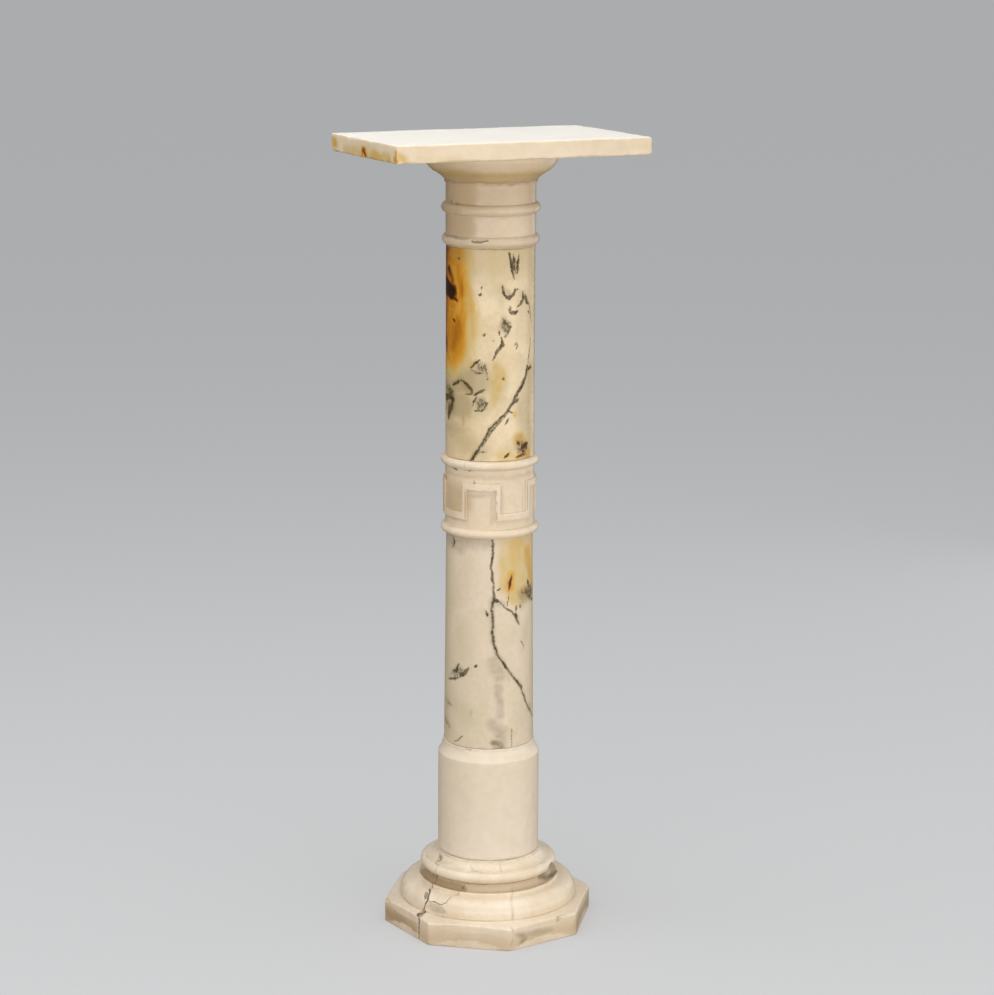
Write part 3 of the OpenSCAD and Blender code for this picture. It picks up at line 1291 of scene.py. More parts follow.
def cracks(*paths: Path, wide: float = 0.35, soft: float = 0.9, carve: float = 0.5,
           **values: float) -> tuple[Mark, ...]:
    """Open cracks, sunk into the stone."""
    return tuple(
        Mark(Tone.VEIN, path, wide=wide, soft=soft, carve=carve, tapers=False, **values) for path in paths
    )


def strokes(tone: Tone, *rows: tuple) -> tuple[Mark, ...]:
    """Marks that thin towards both ends.

    Args:
        tone: What they are made of.
        *rows: For each mark its half width, its soft edge, its strength and the points of its path.

    Returns:
        The marks.
    """
    return tuple(Mark(tone, tuple(path), wide, soft, strength) for wide, soft, strength, *path in rows)


def patches(tone: Tone, *rows: tuple) -> tuple[Mark, ...]:
    """Marks like strokes, but as wide at both ends as in the middle."""
    return tuple(replace(mark, tapers=False) for mark in strokes(tone, *rows))


def upper_shaft_marks() -> tuple[Mark, ...]:
    """The amber clouds, the long slanting vein and the clusters of dark minerals of the upper shaft."""
    return (
        *patches(
            Tone.AMBER,
            (44, 34, 0.6, (-75, 285), (-75, 168)), (48, 50, 0.5, (-75, 195), (-72, 158)),
            (26, 30, 0.1, (-16, 264), (56, 262)), (7, 13, 1.15, (-66, 246), (-58, 230)),
            (12, 14, 1.45, (-82, 222), (-58, 217)), (22, 36, 0.76, (-80, 290), (-80, 150)),
            (11, 16, 0.34, (40, 28), (54, 6)),
        ),
        *strokes(
            Tone.AMBER,
            (11, 26, 0.34, (-30, 228), (-24, 190), (-22, 138)), (8, 24, 0.2, (-24, 270), (-20, 244)),
            (10, 22, 0.26, (-28, 132), (-18, 124)), (12, 20, 0.72, (-72, 262), (-50, 250)),
            (5, 12, 0.66, (-40, 236), (-38, 205)), (6, 12, 0.76, (-76, 200), (-52, 196)),
            (3.5, 5, 1.3, (-58, 214), (-45, 206)), (2.4, 5, 0.86, (-60, 181), (-50, 179)),
            (3, 5, 0.88, (-48, 262), (-42, 260)), (13, 22, 0.28, (6, 134), (11, 108), (6, 74)),
            (4, 7, 0.4, (16, 110), (19, 105)), (12, 18, 0.2, (8, 10), (36, 4)),
            (6, 12, 0.36, (38, 34), (44, 26)), (4.5, 7, 1.1, (42, 13), (49, 15), (57, 20)),
            (3, 6, 0.95, (37, 25), (41, 20)), (3.5, 6, 0.95, (37, 3), (52, 5)),
            (3, 6, 0.5, (20, 5), (26, 10)), (4, 8, 0.42, (33, 64), (34, 56)),
            (2.5, 5, 0.5, (-9, 166), (-7, 164)), (14, 40, 0.4, (150, 230), (165, 170), (140, 110)),
            (16, 44, 0.5, (-130, 260), (-110, 200)),
        ),
        *strokes(
            Tone.SMOKE_AND_SHADE,
            (12, 20, 0.22, (8, 126), (8, 82)), (5, 9, 0.4, (-58, 98), (-42, 104), (-28, 92)),
            (7, 12, 0.26, (-22, 124), (-8, 118)), (7, 10, 0.34, (-18, 82), (-8, 72)),
            (5, 8, 0.4, (20, 222), (28, 212)), (4, 8, 0.4, (32, 262), (34, 244)),
            (4, 8, 0.35, (44, 214), (54, 204)), (7, 8, 0.4, (17, 184), (21, 168)),
            (2, 4, 0.5, (-38, 58), (-37, 46)), (6, 12, 0.3, (70, 240), (76, 180), (74, 130)),
        ),
        *patches(Tone.GRIME_AND_SHADE, (10, 18, 0.3, (-78, 272), (-40, 266))),
        *patches(
            Tone.SMOKE_AND_SHADE,
            (10, 12, 0.42, (42, 24), (54, 8)), (10, 14, 0.6, (-80, 84), (-60, 80), (-62, 62)),
            (2.4, 5, 0.5, (60, 120), (42, 95), (22, 66), (4, 46), (-9, 26), (-25, 2)),
        ),
        *patches(
            Tone.MELLOW_AND_SHADE,
            (24, 34, 0.62, (-30, 264), (70, 262)), (20, 20, 1, (-75, 104), (-16, 104)),
            (18, 18, 0.95, (-80, 74), (-38, 72)), (12, 22, 0.5, (-44, 26), (-8, 13)),
            (15, 20, 0.6, (68, 110), (48, 62), (62, 20)),
        ),
        *strokes(
            Tone.MELLOW_AND_SHADE,
            (8, 18, 0.4, (40, 216), (54, 202)), (7, 16, 0.4, (10, 232), (14, 205)),
            (13, 16, 0.85, (-18, 122), (-6, 112)), (10, 14, 0.85, (-18, 80), (-6, 72)),
            (14, 24, 0.7, (-70, 42), (-38, 38)), (12, 24, 0.5, (-20, 60), (2, 80), (20, 100)),
            (8, 12, 0.5, (18, 186), (20, 166)), (16, 40, 0.6, (120, 200), (150, 60)),
        ),
        *veins(((55, 122), (50, 107), (45, 97), (37, 86), (30, 76), (22, 66)), wide=2.0, tapers=False),
        *veins(((22, 66), (10, 54), (2, 44), (-5, 32), (-15, 17), (-25, 1)), wide=1.4, tapers=False),
        *veins(((24, 64), (14, 54), (6, 44), (-2, 32), (-10, 20)), wide=1.0),
        *veins(((54, 118), (66, 116)), ((31, 76), (40, 80)), ((-63, 80), (-56, 74)), wide=2.8),
        *veins(((24, 64), (30, 63)), ((19, 49), (24, 56)), wide=1.4),
        *veins(((24, 268), (27, 259), (30, 247), (32, 236)), ((30, 266), (32, 255), (34, 245)), wide=2.2),
        *veins(((38, 268), (37, 259), (38, 250), (36, 243)), wide=2.0),
        *veins(((15, 227), (17, 218), (21, 211)), wide=1.8),
        *veins(((18, 214), (23, 211), (30, 215), (33, 223)), wide=2.6),
        *veins(
            ((34, 221), (38, 222)), ((55, 191), (60, 188)), ((10, 171), (11, 164)), wide=1.2,
            strength=0.85,
        ),
        *veins(((45, 219), (46, 209), (42, 203), (36, 198)), ((25, 201), (27, 196)), wide=2.0),
        *veins(((26, 195), (31, 192), (37, 194)), ((50, 214), (53, 206), (57, 201)), wide=2.8),
        *veins(((16, 186), (20, 179), (26, 173), (21, 166), (17, 163)), ((16, 178), (22, 182)), wide=1.4),
        *veins(((19, 184), (21, 168)), wide=7, soft=8, strength=0.52),
        *veins(((14, 161), (15, 153), (10, 145), (4, 133)), wide=2.3),
        *veins(((32, 150), (36, 154), (37, 150), (35, 145)), ((-4, 110), (-3, 108)), wide=1.3),
        *veins(((-8, 166), (-7, 164)), ((16, 109), (19, 107)), ((-12, 219), (-12, 215)), wide=1.9),
        *veins(((-11, 227), (-11, 223)), ((4, 158), (5, 156)), wide=1.4, strength=0.85),
        *veins(((-26, 121), (-20, 128), (-14, 132)), wide=1.8),
        *veins(
            ((-8, 130), (-8, 121), (-5, 110)), ((-26, 119), (-19, 114), (-10, 115)), wide=1.1,
            strength=0.85,
        ),
        *veins(((-18, 123), (-11, 120)), ((-15, 76), (-7, 72)), wide=9, soft=9, strength=0.5),
        *veins(((-57, 96), (-49, 100), (-42, 104)), ((-22, 85), (-15, 88), (-7, 92)), wide=2.2),
        *veins(((-42, 104), (-32, 100), (-24, 93), (-24, 88), (-32, 87)), wide=2.0),
        *veins(((-17, 84), (-23, 73)), ((-14, 80), (-3, 77), (-11, 67), (-20, 68)), wide=1.4, strength=0.9),
        *veins(((-80, 77), (-65, 80), (-56, 76), (-59, 66), (-67, 53)), wide=4.0, tapers=False),
        *veins(((-74, 92), (-54, 84)), ((-66, 70), (-62, 56)), wide=6, soft=7, strength=0.6),
        *veins(((-60, 242), (-59, 232)), ((-56, 181), (-52, 179)), ((-47, 262), (-43, 261)), wide=1.6),
        *veins(((36, 27), (41, 20)), ((37, 4), (50, 5)), ((20, 5), (25, 10)), wide=2.0),
        *veins(((42, 14), (48, 16), (57, 20)), ((52, 19), (54, 12)), wide=3.0),
        *veins(((42, 22), (50, 6)), wide=9, soft=9, strength=0.58),
        *veins(((-17, 14), (-4, 13)), ((64, 157), (60, 139), (56, 124)), ((58, 204), (66, 176)), wide=0.9),
        *veins(((180, 268), (168, 210), (150, 150), (130, 90), (118, 20)), wide=1.4),
        *veins(((150, 150), (170, 120), (184, 90)), ((-120, 200), (-128, 150), (-118, 110)), wide=1.1),
        *veins(((-150, 200), (-144, 184)), ((120, 230), (128, 214)), wide=5, soft=6, strength=0.6),
    )


def lower_shaft_marks() -> tuple[Mark, ...]:
    """The upright dark vein with its fork, the amber head and the grey clouds of the lower shaft, with
    painted shade down both edges and painted shadow under the band's bead.
    """
    return (
        *patches(
            Tone.AMBER,
            (38, 16, 0.22, (48, 295), (48, 226)), (12, 26, 0.34, (60, 262), (70, 224)),
            (9, 15, 0.36, (30, 234), (28, 216)), (10, 14, 0.36, (76, 210), (48, 206)),
        ),
        *strokes(
            Tone.AMBER,
            (5, 10, 0.52, (31, 238), (27, 212)), (3, 5, 1, (31, 235), (28, 224), (26, 213)),
            (14, 34, 0.26, (110, 270), (130, 230)),
        ),
        *patches(
            Tone.SMOKE_AND_SHADE,
            (10, 14, 0.75, (78, 206), (50, 203)), (3, 6, 0.5, (6, 204), (3, 180), (5, 150), (12, 125)),
            (2.6, 6, 0.5, (12, 128), (24, 110), (46, 80), (56, 60)), (9, 10, 0.46, (6, 118), (14, 100)),
            (5, 8, 0.46, (12, 84), (14, 46)), (8, 9, 0.5, (6, 34), (16, 24), (14, 0)),
            # The last two are painted shadow under the band's lower bead
            (4, 5, 1, (6, 9), (16, 8), (17, 3)), (11, 16, 0.5, (-74, 276), (-44, 272)),
            (11, 14, 0.4, (-45, 282), (-6, 280)),
        ),
        # Painted shade down both edges of the shaft
        *patches(Tone.MELLOW_AND_SHADE, (20, 50, 0.85, (-82, 250), (-78, 20)), (12, 30, 0.7, (82, 180), (80, 10))),
        *strokes(
            Tone.MELLOW_AND_SHADE,
            (14, 28, 0.6, (-60, 66), (-22, 36)), (12, 30, 0.4, (-50, 180), (-30, 120)),
            (8, 20, 0.6, (60, 170), (48, 130)),
        ),
        *strokes(
            Tone.SMOKE_AND_SHADE,
            (2, 5, 0.4, (-3, 190), (-2, 178)), (5, 8, 0.7, (60, 54), (72, 42)),
            (3, 6, 0.36, (24, 108), (26, 92)), (2, 4, 0.6, (17, 22), (12, 14)),
            (4, 8, 0.5, (8, 198), (20, 196)), (3, 6, 0.4, (36, 184), (42, 166)),
            (6, 9, 0.36, (-62, 90), (-46, 104), (-32, 102)), (6, 12, 0.45, (-74, 54), (-56, 52)),
            (2, 4, 0.35, (-22, 54), (-23, 44)), (5, 10, 0.5, (-80, 30), (-60, 22)),
            (6, 14, 0.3, (150, 120), (160, 60)),
        ),
        *strokes(Tone.GRIME_AND_SHADE, (3, 6, 0.5, (-58, 272), (-50, 276))),
        *veins(((4, 284), (4, 263), (3, 245), (4, 230), (6, 212)), wide=1.5, strength=0.95, tapers=False),
        *veins(
            ((6, 214), (7, 200), (4, 188), (4, 172), (5, 155), (8, 141), (13, 126)), wide=1.6,
            strength=0.93, tapers=False,
        ),
        *veins(
            ((13, 126), (17, 118), (24, 111), (30, 101), (38, 90), (46, 79)), wide=1.5, strength=0.93,
            tapers=False,
        ),
        *veins(((46, 80), (51, 70), (57, 58), (66, 46), (78, 34)), wide=1.1, tapers=False),
        *veins(
            ((18, 116), (26, 108)), ((7, 202), (14, 198)), ((45, 83), (48, 76)), ((37, 182), (38, 172)),
            wide=2.4,
        ),
        *veins(
            ((11, 214), (15, 217)), ((-3, 188), (-2, 180)), ((14, 198), (24, 190), (33, 182), (37, 176)),
            wide=1.5,
        ),
        *veins(((36, 176), (43, 165)), ((38, 184), (38, 192)), ((45, 193), (46, 188)), wide=1.7),
        *veins(((26, 210), (25, 195)), ((45, 143), (53, 131)), ((30, 27), (31, 0)), wide=0.9, strength=0.9),
        *veins(((47, 211), (50, 204)), ((52, 207), (61, 204)), ((62, 222), (64, 212)), wide=1.8),
        *veins(((68, 214), (71, 204), (66, 198)), ((70, 196), (80, 190)), wide=3.0),
        *veins(((56, 210), (74, 200)), wide=9, soft=9, strength=0.64),
        *veins(((-54, 101), (-48, 102), (-43, 110)), ((-41, 96), (-35, 100), (-28, 107)), wide=3.0),
        *veins(((-66, 86), (-52, 90), (-40, 94)), ((-20, 110), (-17, 113)), wide=1.8, strength=0.95),
        *veins(((-56, 98), (-36, 102)), wide=8, soft=8, strength=0.52),
        *veins(
            ((-34, 16), (-41, 9), (-50, 4)), ((-78, 30), (-62, 20)), ((-68, 54), (-56, 52)), wide=1.0,
            strength=0.8,
        ),
        *veins(((-58, 281), (-53, 274), (-57, 266)), wide=1.5, strength=0.85),
        *veins(((150, 284), (158, 220), (140, 150), (150, 80), (172, 10)), wide=1.4),
        *veins(((140, 150), (120, 120), (110, 60)), ((-130, 240), (-120, 190), (-126, 160)), wide=1.1),
        *veins(((-150, 120), (-140, 104)), wide=5, soft=6, strength=0.6),
    )


def base_marks() -> tuple[Mark, ...]:
    """The cracks through the base, painted shade in the scotia under the ring, dark lines at its creases
    and foot, and the stains on its plinth.
    """
    return (
        *patches(
            Tone.MELLOW_AND_SHADE,
            (12, 24, 0.6, *all_round(8)), (14, 16, 0.85, (-100, 10), (-48, 10)),
            # Painted shade in the scotia under the ring, heaviest on the left
            (8, 6, 0.5, *all_round(111)), (8, 6, 1, (-90, 111), (-24, 109)),
        ),
        *patches(
            Tone.GRIME_AND_SHADE,
            # Painted shade under the ring and on the scotia's left side; then dark lines at the foot and
            # creases
            (2, 4, 0.9, *all_round(122)), (7, 6, 0.32, (-90, 111), (-24, 109)),
            (1, 5, 0.5, *all_round(0)), (0.8, 4, 0.25, *all_round(53)), (0.6, 1.6, 0.4, *all_round(166)),
            (7, 14, 0.42, (-76, 12), (-60, 12), (-48, 6)), (12, 14, 0.4, (60, 14), (80, 12), (100, 12)),
            # Painted shadow under the broken ring
            (4, 8, 0.9, (58, 118), (70, 111), (86, 102)),
        ),
        *strokes(
            Tone.GRIME_AND_SHADE,
            (4, 8, 0.6, (16, 24), (22, 15), (18, 3)), (4, 8, 0.4, (22, 18), (40, 16)),
            (2.2, 4, 0.9, (-66, 161), (-58, 158), (-58, 152)), (1.5, 3, 0.9, (-26, 114), (-22, 111)),
            (0.8, 2, 0.6, (43, 40), (50, 36)),
        ),
        *strokes(
            Tone.SMOKE_AND_SHADE,
            (1.8, 4, 0.5, (-18, 159), (-13, 151), (-4, 146)), (2.5, 6, 0.3, (-60, 154), (-40, 158)),
            (5, 6, 0.4, (-43, 64), (-30, 62)), (1, 3, 0.6, (-32, 68), (-31, 57)),
            (1.6, 4, 0.6, (17, 76), (16, 56)), (4, 10, 0.2, (-70, 96), (-52, 90)),
        ),
        *patches(
            Tone.SMOKE_AND_SHADE,
            (1.2, 3, 0.4, (13, 162), (12, 147)),
            (1, 3.5, 0.6, (23, 112), (20, 97), (17, 82), (17, 69), (16, 54)),
            (1, 3, 0.7, (13, 36), (14, 22), (12, 6)),
        ),
        *cracks(((-71, 167), (-66, 160), (-58, 151), (-52, 146)), strength=0.8),
        *cracks(((-52, 146), (-51, 138), (-50, 130), (-53, 123)), wide=0.3, strength=0.8),
        *cracks(((-53, 123), (-57, 115), (-55, 109), (-51, 99), (-51, 89)), wide=0.5, carve=0.8),
        *cracks(((-51, 90), (-46, 80), (-44, 72), (-45, 61), (-46, 56)), wide=1.0, soft=1.4, carve=2.2),
        *cracks(((-46, 57), (-47, 48), (-43, 37), (-43, 19), (-43, -8)), wide=0.9, soft=1.2, carve=1.5),
        *cracks(((-43, 71), (-38, 72), (-32, 70), (-29, 74), (-28, 83)), wide=0.45, carve=0.8),
        *cracks(((-28, 83), (-27, 92), (-24, 99)), wide=0.3, carve=0.3, strength=0.75),
        *cracks(((-20, 158), (-18, 147), (-18, 137), (-20, 129)), wide=0.2, carve=0.15, strength=0.5),
        *cracks(((-23, 118), (-25, 109), (-25, 98), (-27, 90)), wide=0.3, carve=0.3, strength=0.8),
    )


def base_chips() -> tuple[Chip, ...]:
    """The break under the ring, the recess by the wide crack and the knocks along the plinth."""
    return (
        # The break's dark floor is painted shadow under the overhanging ring
        Chip(
            (
                (54, 117), (57, 128), (61, 132), (63, 136), (69, 138), (78, 135), (90, 135), (104, 132),
                (108, 117),
            ),
            core=82, brink=1.2, grime_and_shade=0.9,
        ),
        Chip(((-43, 70), (-38, 71), (-32, 69), (-29, 66), (-28, 59), (-35, 55), (-42, 56), (-45, 59)), 1.0,
             brink=2.5, grime_and_shade=0.12),
        Chip(((-52, 82), (-47, 82), (-45, 75), (-46, 69), (-50, 74)), 2.0, brink=1.5, grime_and_shade=0.8),
        Chip(((-49, 57), (-44, 55), (-42, 44), (-42, 34), (-44, 34), (-46, 42)), 3.0, brink=2.0, grime_and_shade=0.6),
        Chip(((-14, 34), (-6, 34), (-8, 28), (-12, 28)), 0.9, brink=1.5, grime_and_shade=0.1),
        Chip(((40, 38), (46, 39), (45, 33), (42, 32)), 1.2, brink=1.5, grime_and_shade=0.4),
        Chip(((70, 36), (82, 37), (80, 28), (74, 28)), 1.6, brink=2.0, grime_and_shade=0.3),
        Chip(((-82, 36), (-74, 38), (-75, 28), (-80, 27)), 2.0, brink=2.5, grime_and_shade=0.3),
        Chip(((150, 38), (162, 38), (158, 28)), 2.0, brink=2.0),
        Chip(((-150, 138), (-142, 139), (-144, 131)), 1.5, brink=1.5),
    )


def drum_marks() -> tuple[Mark, ...]:
    """Faint clouds and streaks."""
    return (
        *strokes(Tone.SMOKE_AND_SHADE, (0.8, 4, 0.22, (58, 70), (50, 40)), (1.5, 5, 0.18, (62, 84), (66, 60))),
        *strokes(Tone.AMBER, (12, 40, 0.07, (-20, 70), (10, 60))),
        *patches(Tone.GRIME_AND_SHADE, (0.8, 3, 0.3, *all_round(1)), (0.5, 2, 0.25, *all_round(151))),
    )


def drum_chips() -> tuple[Chip, ...]:
    """Small knocks along the lip."""
    return (
        Chip(((-30, 153), (-22, 153), (-24, 149), (-28, 149)), 1.0, brink=1.2, grime_and_shade=0.1),
        Chip(((24, 136), (32, 136), (28, 132)), 0.7, brink=1.2, grime_and_shade=0.1),
    )


def band_marks() -> tuple[Mark, ...]:
    """The mended cracks at the left of the band and the soil beside them, a darker wall with painted shade
    on its left side, and painted shadow beside and under the key pattern's lines.
    """
    return (
        *patches(
            Tone.MELLOW_AND_SHADE,
            # A darker wall, with painted shade on the band's left side
            (36, 8, 0.22, *all_round(51)), (24, 26, 0.75, (-90, 56), (-44, 54)),
            (3, 8, 0.6, *all_round(87)), (2, 8, 0.5, *all_round(16)),
        ),
        *strokes(
            Tone.SMOKE_AND_SHADE,
            # The first four are painted shadow under and beside the key pattern's lines
            (2.5, 7, 0.5, (-30, 63), (3, 63)), (1, 4, 0.3, (14, 36), (49, 36)),
            (1, 4, 0.4, (-78, 36), (-41, 36)), (1, 4, 0.3, (48, 72), (48, 36)),
            (3, 5, 0.5, (-76, 103), (-62, 102)), (2, 4, 0.4, (-31, 106), (-24, 105), (-20, 107)),
        ),
        # Painted shadow down the inner side of an upright line
        *patches(Tone.SMOKE_AND_SHADE, (1.2, 5, 0.45, (3, 62), (3, 28))),
        # Soil, and painted shade on the band's left side
        *patches(Tone.GRIME_AND_SHADE, (8, 20, 0.18, (-84, 50), (-54, 40)), (0.5, 2, 0.2, *all_round(16))),
        *strokes(
            Tone.GRIME_AND_SHADE,
            (1.5, 5, 0.5, (-62, 106), (-30, 106)), (2.5, 4, 0.9, (-86, 82), (-74, 80)),
            (1.6, 3, 0.7, (-60, 98), (-46, 95)), (1.2, 2, 0.7, (-30, 98), (-26, 96)),
            (1.5, 3, 0.6, (-20, 82), (-19, 78)), (3, 6, 0.35, (-70, 32), (-54, 32)),
            (1.8, 3, 0.7, (-56, 2), (-52, 5)),
        ),
        *cracks(((-31, 110), (-29, 98), (-22, 94)), wide=0.25, carve=0.3, strength=0.7),
        *cracks(((-22, 94), (-19, 80), (-17, 70)), wide=0.2, carve=0.2, strength=0.5),
        *cracks(((-64, 110), (-60, 99), (-48, 94)), wide=0.3, carve=0.4, strength=0.7),
    )


def band_chips() -> tuple[Chip, ...]:
    """Knocks under the upper bead and at the far left."""
    return (
        Chip(((-60, 99), (-48, 98), (-46, 94), (-56, 94)), 1.4, brink=1.2, grime_and_shade=0.6),
        Chip(((-31, 98), (-25, 98), (-26, 95)), 1.0, brink=0.8, grime_and_shade=0.6),
        Chip(((-90, 88), (-76, 88), (-78, 78), (-88, 78)), 2.4, brink=2.0, grime_and_shade=0.7),
        Chip(((-62, 6), (-52, 6), (-54, 1)), 1.0, brink=1.2, grime_and_shade=0.5),
    )


def capital_marks() -> tuple[Mark, ...]:
    """Dark lines above and under the beads, a darker neck and echinus, and painted shade on the left side
    and under the slab.
    """
    return (
        *patches(
            Tone.MELLOW_AND_SHADE,
            # A darker neck and echinus, with painted shade on the left side and under the slab
            (14, 8, 0.55, *all_round(78)), (16, 10, 0.75, (-110, 78), (-26, 78)),
            (15, 10, 0.72, (-110, 31), (-30, 31)), (14, 8, 1, *all_round(104)), (5, 6, 1, *all_round(95)),
            (6, 8, 0.75, (-100, 54), (-40, 54)),
        ),
        *patches(
            Tone.GRIME_AND_SHADE,
            (1.2, 1.6, 1, (-22, 13), (-12, 12), (-3, 13)), (0.4, 2, 0.3, *all_round(66)),
            (0.5, 2.5, 0.4, *all_round(45)), (0.4, 2, 0.2, *all_round(16)), (0.6, 2, 0.4, *all_round(0)),
            # The last here is painted shade under the slab on the left of the echinus
            (0.8, 2.5, 0.5, *all_round(94)), (14, 14, 0.2, (-100, 112), (-20, 112)),
        ),
        *strokes(
            Tone.GRIME_AND_SHADE,
            (2, 3, 0.6, (-80, 16), (-56, 16), (-28, 15)), (1.5, 3, 0.6, (-76, 1), (-50, 2)),
            (1.6, 3, 0.8, (-62, 66), (-56, 66)), (1.6, 3, 0.7, (-50, 66), (-44, 66)),
        ),
        # Warm painted shade under the slab on the echinus, strongest on the left
        *patches(Tone.AMBER, (14, 14, 0.14, *all_round(112)), (14, 20, 0.22, (-110, 112), (-30, 112))),
    )


def capital_chips() -> tuple[Chip, ...]:
    """The knock in the lower bead."""
    return (Chip(((-22, 15), (-3, 15), (-5, 11), (-12, 10), (-19, 11)), 1.2, brink=1.0, grime_and_shade=0.5),)


def slab_marks() -> tuple[Mark, ...]:
    """The brown spot in the left end, the rusty corner and the warm tints of the sawn faces."""
    return (
        *patches(
            Tone.AMBER,
            (4, 4, 0.9, (-177, -7, 4), (-177, -4, 9)), (2, 3, 0.9, (-177, 3, 3), (-177, 3, 11)),
            (3, 6, 0.66, (-177, -98, 7), (-177, -105, 4)),
            (1.5, 3, 0.8, (-177, -104, 15), (-177, -106, 2)),
            (8, 12, 0.25, (-177, 60, 5), (-177, -80, 5)),
            (6, 10, 0.24, (-176, -106, 12), (-164, -106, 6)),
            (5, 10, 0.14, (-150, -106, 6), (-90, -106, 4)),
            (6, 12, 0.13, (150, -106, 12), (177, -106, 10)),
        ),
        *strokes(
            Tone.AMBER,
            (8, 12, 0.36, (-177, 104, 16), (-177, 84, 8)), (8, 14, 0.2, (60, 106, 12), (120, 106, 12)),
            (8, 14, 0.2, (177, 20, 12), (177, 60, 10)),
        ),
        *strokes(
            Tone.GRIME_AND_SHADE,
            (2, 3, 0.6, (-177, 104, 0), (-177, 70, 0)), (0.8, 1.5, 0.7, (-177, -19, 19), (-177, -18, 18)),
            (0.8, 1.5, 0.7, (-177, -40, 7), (-177, -39, 6)),
            (0.8, 2, 0.6, (-177, -92, 22), (-177, -90, 21)),
        ),
        *strokes(Tone.SMOKE_AND_SHADE, (2, 8, 0.1, (-60, -98, 23), (-10, -84, 23), (60, -90, 23))),
    )


def stones() -> list[Stone]:
    """The column's stones, from the floor up."""
    return [
        Base(node="base", finish=CREAM, marks=base_marks(), chips=base_chips(), wear=0.6),
        Drum(node="drum", finish=PALE, marks=drum_marks(), chips=drum_chips()),
        Shaft(
            node="lower_shaft", finish=VEINED, foot_radius=59.6, head_radius=57.0, height=283.0,
            marks=lower_shaft_marks(),
        ),
        KeyBand(node="key_band", finish=CREAM, marks=band_marks(), chips=band_chips()),
        Shaft(
            node="upper_shaft", finish=AMBER, foot_radius=58.2, head_radius=57.7, height=274.0,
            marks=upper_shaft_marks(),
        ),
        # The capital is darker all round: a warmer stone, and painted shade under the slab
        Capital(node="capital", finish=CREAM, marks=capital_marks(), chips=capital_chips(), mellow_and_shade=0.35),
        Slab(node="top_slab", finish=SLAB, marks=slab_marks(), wear=1.0),
    ]


# -----------------------------------------------------------------------------
# The studio
# -----------------------------------------------------------------------------


@dataclass(frozen=True)
class Lamp:
    """A soft box that is aimed at the column.

    Attributes:
        name: The lamp's name.
        turn: Where it stands, in degrees right of the front.
        rise: Its height above the horizon as seen from the column, in degrees.
        distance: How far it stands from the column, in metres.
        wide: Its width in metres.
        tall: Its height in metres.
        power: Its power in watts.
    """

    name: str
    turn: float
    rise: float
    distance: float
    wide: float
    tall: float
    power: float

    def build(self, aim: Vector) -> None:
        """Hangs the lamp and points it at the column."""
        light = bpy.data.lights.new(self.name, "AREA")
        light.shape = "RECTANGLE"
        light.size = self.wide
        light.size_y = self.tall
        light.energy = self.power
        lamp = bpy.data.objects.new(self.name, light)
        heading, rise = math.radians(FRONT + self.turn), math.radians(self.rise)
        level = math.cos(rise)
        out = Vector((math.cos(heading) * level, math.sin(heading) * level, math.sin(rise)))
        lamp.location = aim + out * self.distance
        lamp.rotation_euler = out.to_track_quat("Z", "Y").to_euler()
        lamp.visible_camera = False
        bpy.context.scene.collection.objects.link(lamp)


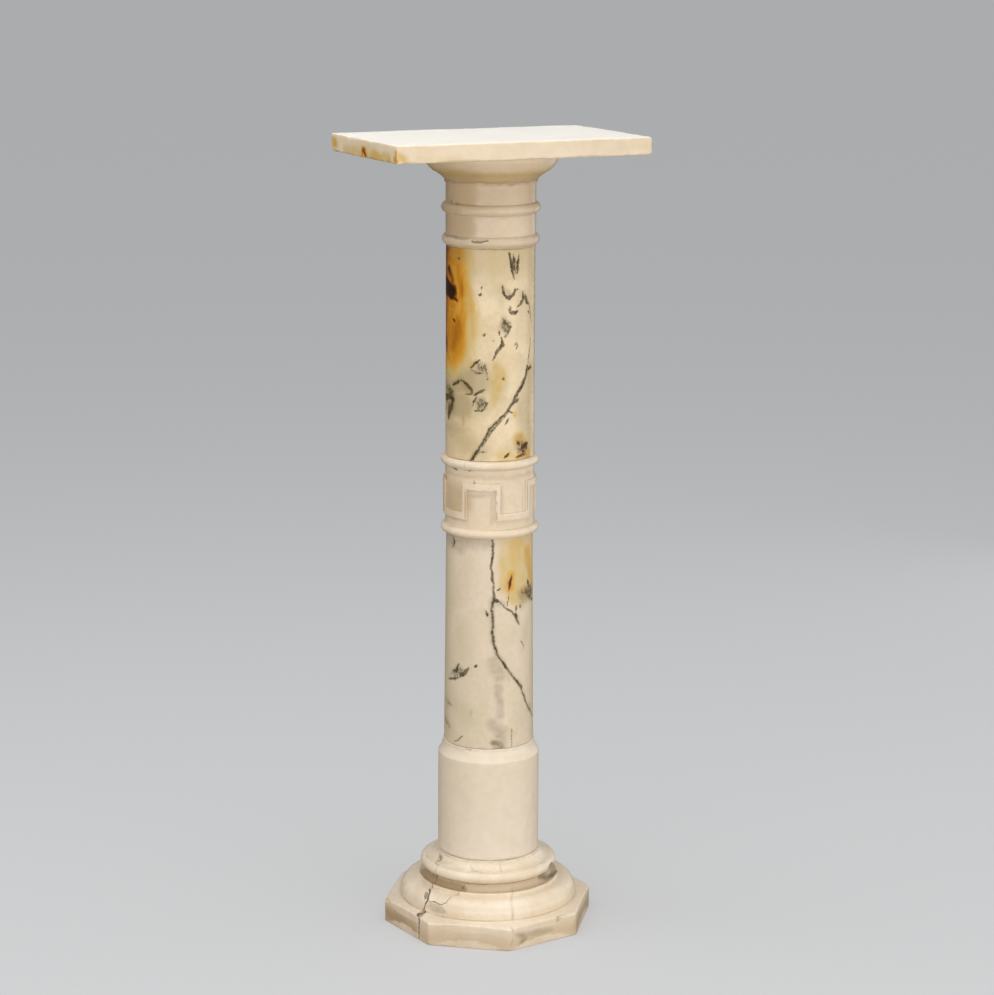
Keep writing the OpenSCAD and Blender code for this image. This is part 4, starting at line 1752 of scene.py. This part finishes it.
@dataclass(frozen=True)
class Studio:
    """The floor, the sky, the lamps and the camera.

    Attributes:
        camera_distance: How far the camera stands from the column's axis, in metres.
        camera_height: Its height above the floor, in metres.
        camera_pitch: How far it looks down, in degrees.
        camera_yaw: How far it looks right of the axis, in degrees.
        camera_roll: How far it leans, in degrees.
        lens: Its focal length in millimetres.
        paper: Colour of the floor as the camera sees it.
        bounce: Colour of the light that the floor sends back on the column.
        lift: How much of its own tone the floor shows besides the light that falls on it.
        sky: Colour of the light from all round.
        sky_strength: Strength of the light from all round.
        lamps: The soft boxes.
    """

    camera_distance: float = 3.478
    camera_height: float = 1.336
    camera_pitch: float = 12.31
    camera_yaw: float = 0.16
    camera_roll: float = 0.286
    lens: float = 98.24
    paper: Colour = (0.30, 0.30, 0.30)
    bounce: Colour = (0.30, 0.25, 0.20)
    lift: float = 1.1
    sky: Colour = (0.62, 0.66, 0.72)
    sky_strength: float = 0.42
    lamps: tuple[Lamp, ...] = (
        Lamp("left_box", -22, 0, 2.4, 1.6, 1.1, 18),
        Lamp("front_box", 16, -3.6, 2.4, 1.6, 0.8, 11),
        Lamp("right_box", 54, -3.6, 2.4, 1.6, 0.8, 13),
        Lamp("side_box", 92, -3.6, 2.4, 1.6, 0.8, 9),
        Lamp("edge_box", 138, 0, 2.4, 0.9, 1.3, 3.5),
        Lamp("left_sky", -84, 34, 2.6, 1.6, 1.6, 11),
        Lamp("top_box", 0, 76, 2.4, 3.6, 2.6, 62),
    )

    def build(self) -> None:
        """Builds all of the studio."""
        low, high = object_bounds()
        for lamp in self.lamps:
            lamp.build((low + high) / 2)
        self.floor()
        self.world()
        self.camera()

    def floor(self) -> None:
        """A wide round floor under the column."""
        bm = bmesh.new()
        bmesh.ops.create_circle(bm, cap_ends=True, segments=96, radius=60)
        mesh = bpy.data.meshes.new("floor")
        bm.to_mesh(mesh)
        bm.free()
        floor = bpy.data.objects.new("floor", mesh)
        bpy.context.scene.collection.objects.link(floor)
        made = bpy.data.materials.new("floor_paper")
        made.use_nodes = True
        made.node_tree.nodes.clear()
        tree = Tree(made.node_tree)
        seen = tree.add("LightPath").outputs["Is Camera Ray"]
        paper = tree.add("BsdfDiffuse")
        tree.feed(paper.inputs["Color"], tree.mix(seen, opaque(self.bounce), opaque(self.paper)))
        lift = tree.add("Emission")
        lift.inputs["Color"].default_value = opaque(self.paper)
        tree.feed(lift.inputs["Strength"], tree.maths("MULTIPLY", seen, self.lift))
        both = tree.add("AddShader")
        tree.feed(both.inputs[0], paper.outputs[0])
        tree.feed(both.inputs[1], lift.outputs[0])
        tree.feed(tree.add("OutputMaterial").inputs["Surface"], both.outputs[0])
        mesh.materials.append(made)
        floor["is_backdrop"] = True

    def world(self) -> None:
        """Even pale light from all round."""
        world = bpy.data.worlds.new("studio")
        world.use_nodes = True
        sky = world.node_tree.nodes["Background"]
        sky.inputs["Color"].default_value = opaque(self.sky)
        sky.inputs["Strength"].default_value = self.sky_strength
        bpy.context.scene.world = world

    def camera(self) -> None:
        """A long lens in front of the column, above its middle."""
        data = bpy.data.cameras.new("camera")
        data.lens = self.lens
        camera = bpy.data.objects.new("camera", data)
        heading = math.radians(FRONT)
        spot = Vector((math.cos(heading), math.sin(heading), 0)) * self.camera_distance
        spot.z = self.camera_height
        aim = Matrix.Rotation(heading + math.radians(90 - self.camera_yaw), 4, "Z")
        aim = aim @ Matrix.Rotation(math.radians(90 - self.camera_pitch), 4, "X")
        aim = aim @ Matrix.Rotation(math.radians(self.camera_roll), 4, "Z")
        camera.matrix_world = Matrix.Translation(spot) @ aim
        bpy.context.scene.collection.objects.link(camera)
        bpy.context.scene.camera = camera


def corners() -> list[list[float]]:
    """The lowest and highest corner of what shows, as plain lists."""
    return [list(corner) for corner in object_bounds()]


def main() -> None:
    """Builds the column and its studio."""
    logging.basicConfig(level=logging.INFO, format="%(name)s: %(message)s")
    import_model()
    Studio().build()
    for stone in stones():
        made = stone.build()
        LOG.info("%s: %d faces", made.name, len(made.data.polygons))
    bpy.context.scene.view_settings.view_transform = "Standard"


if __name__ == "__main__":
    main()
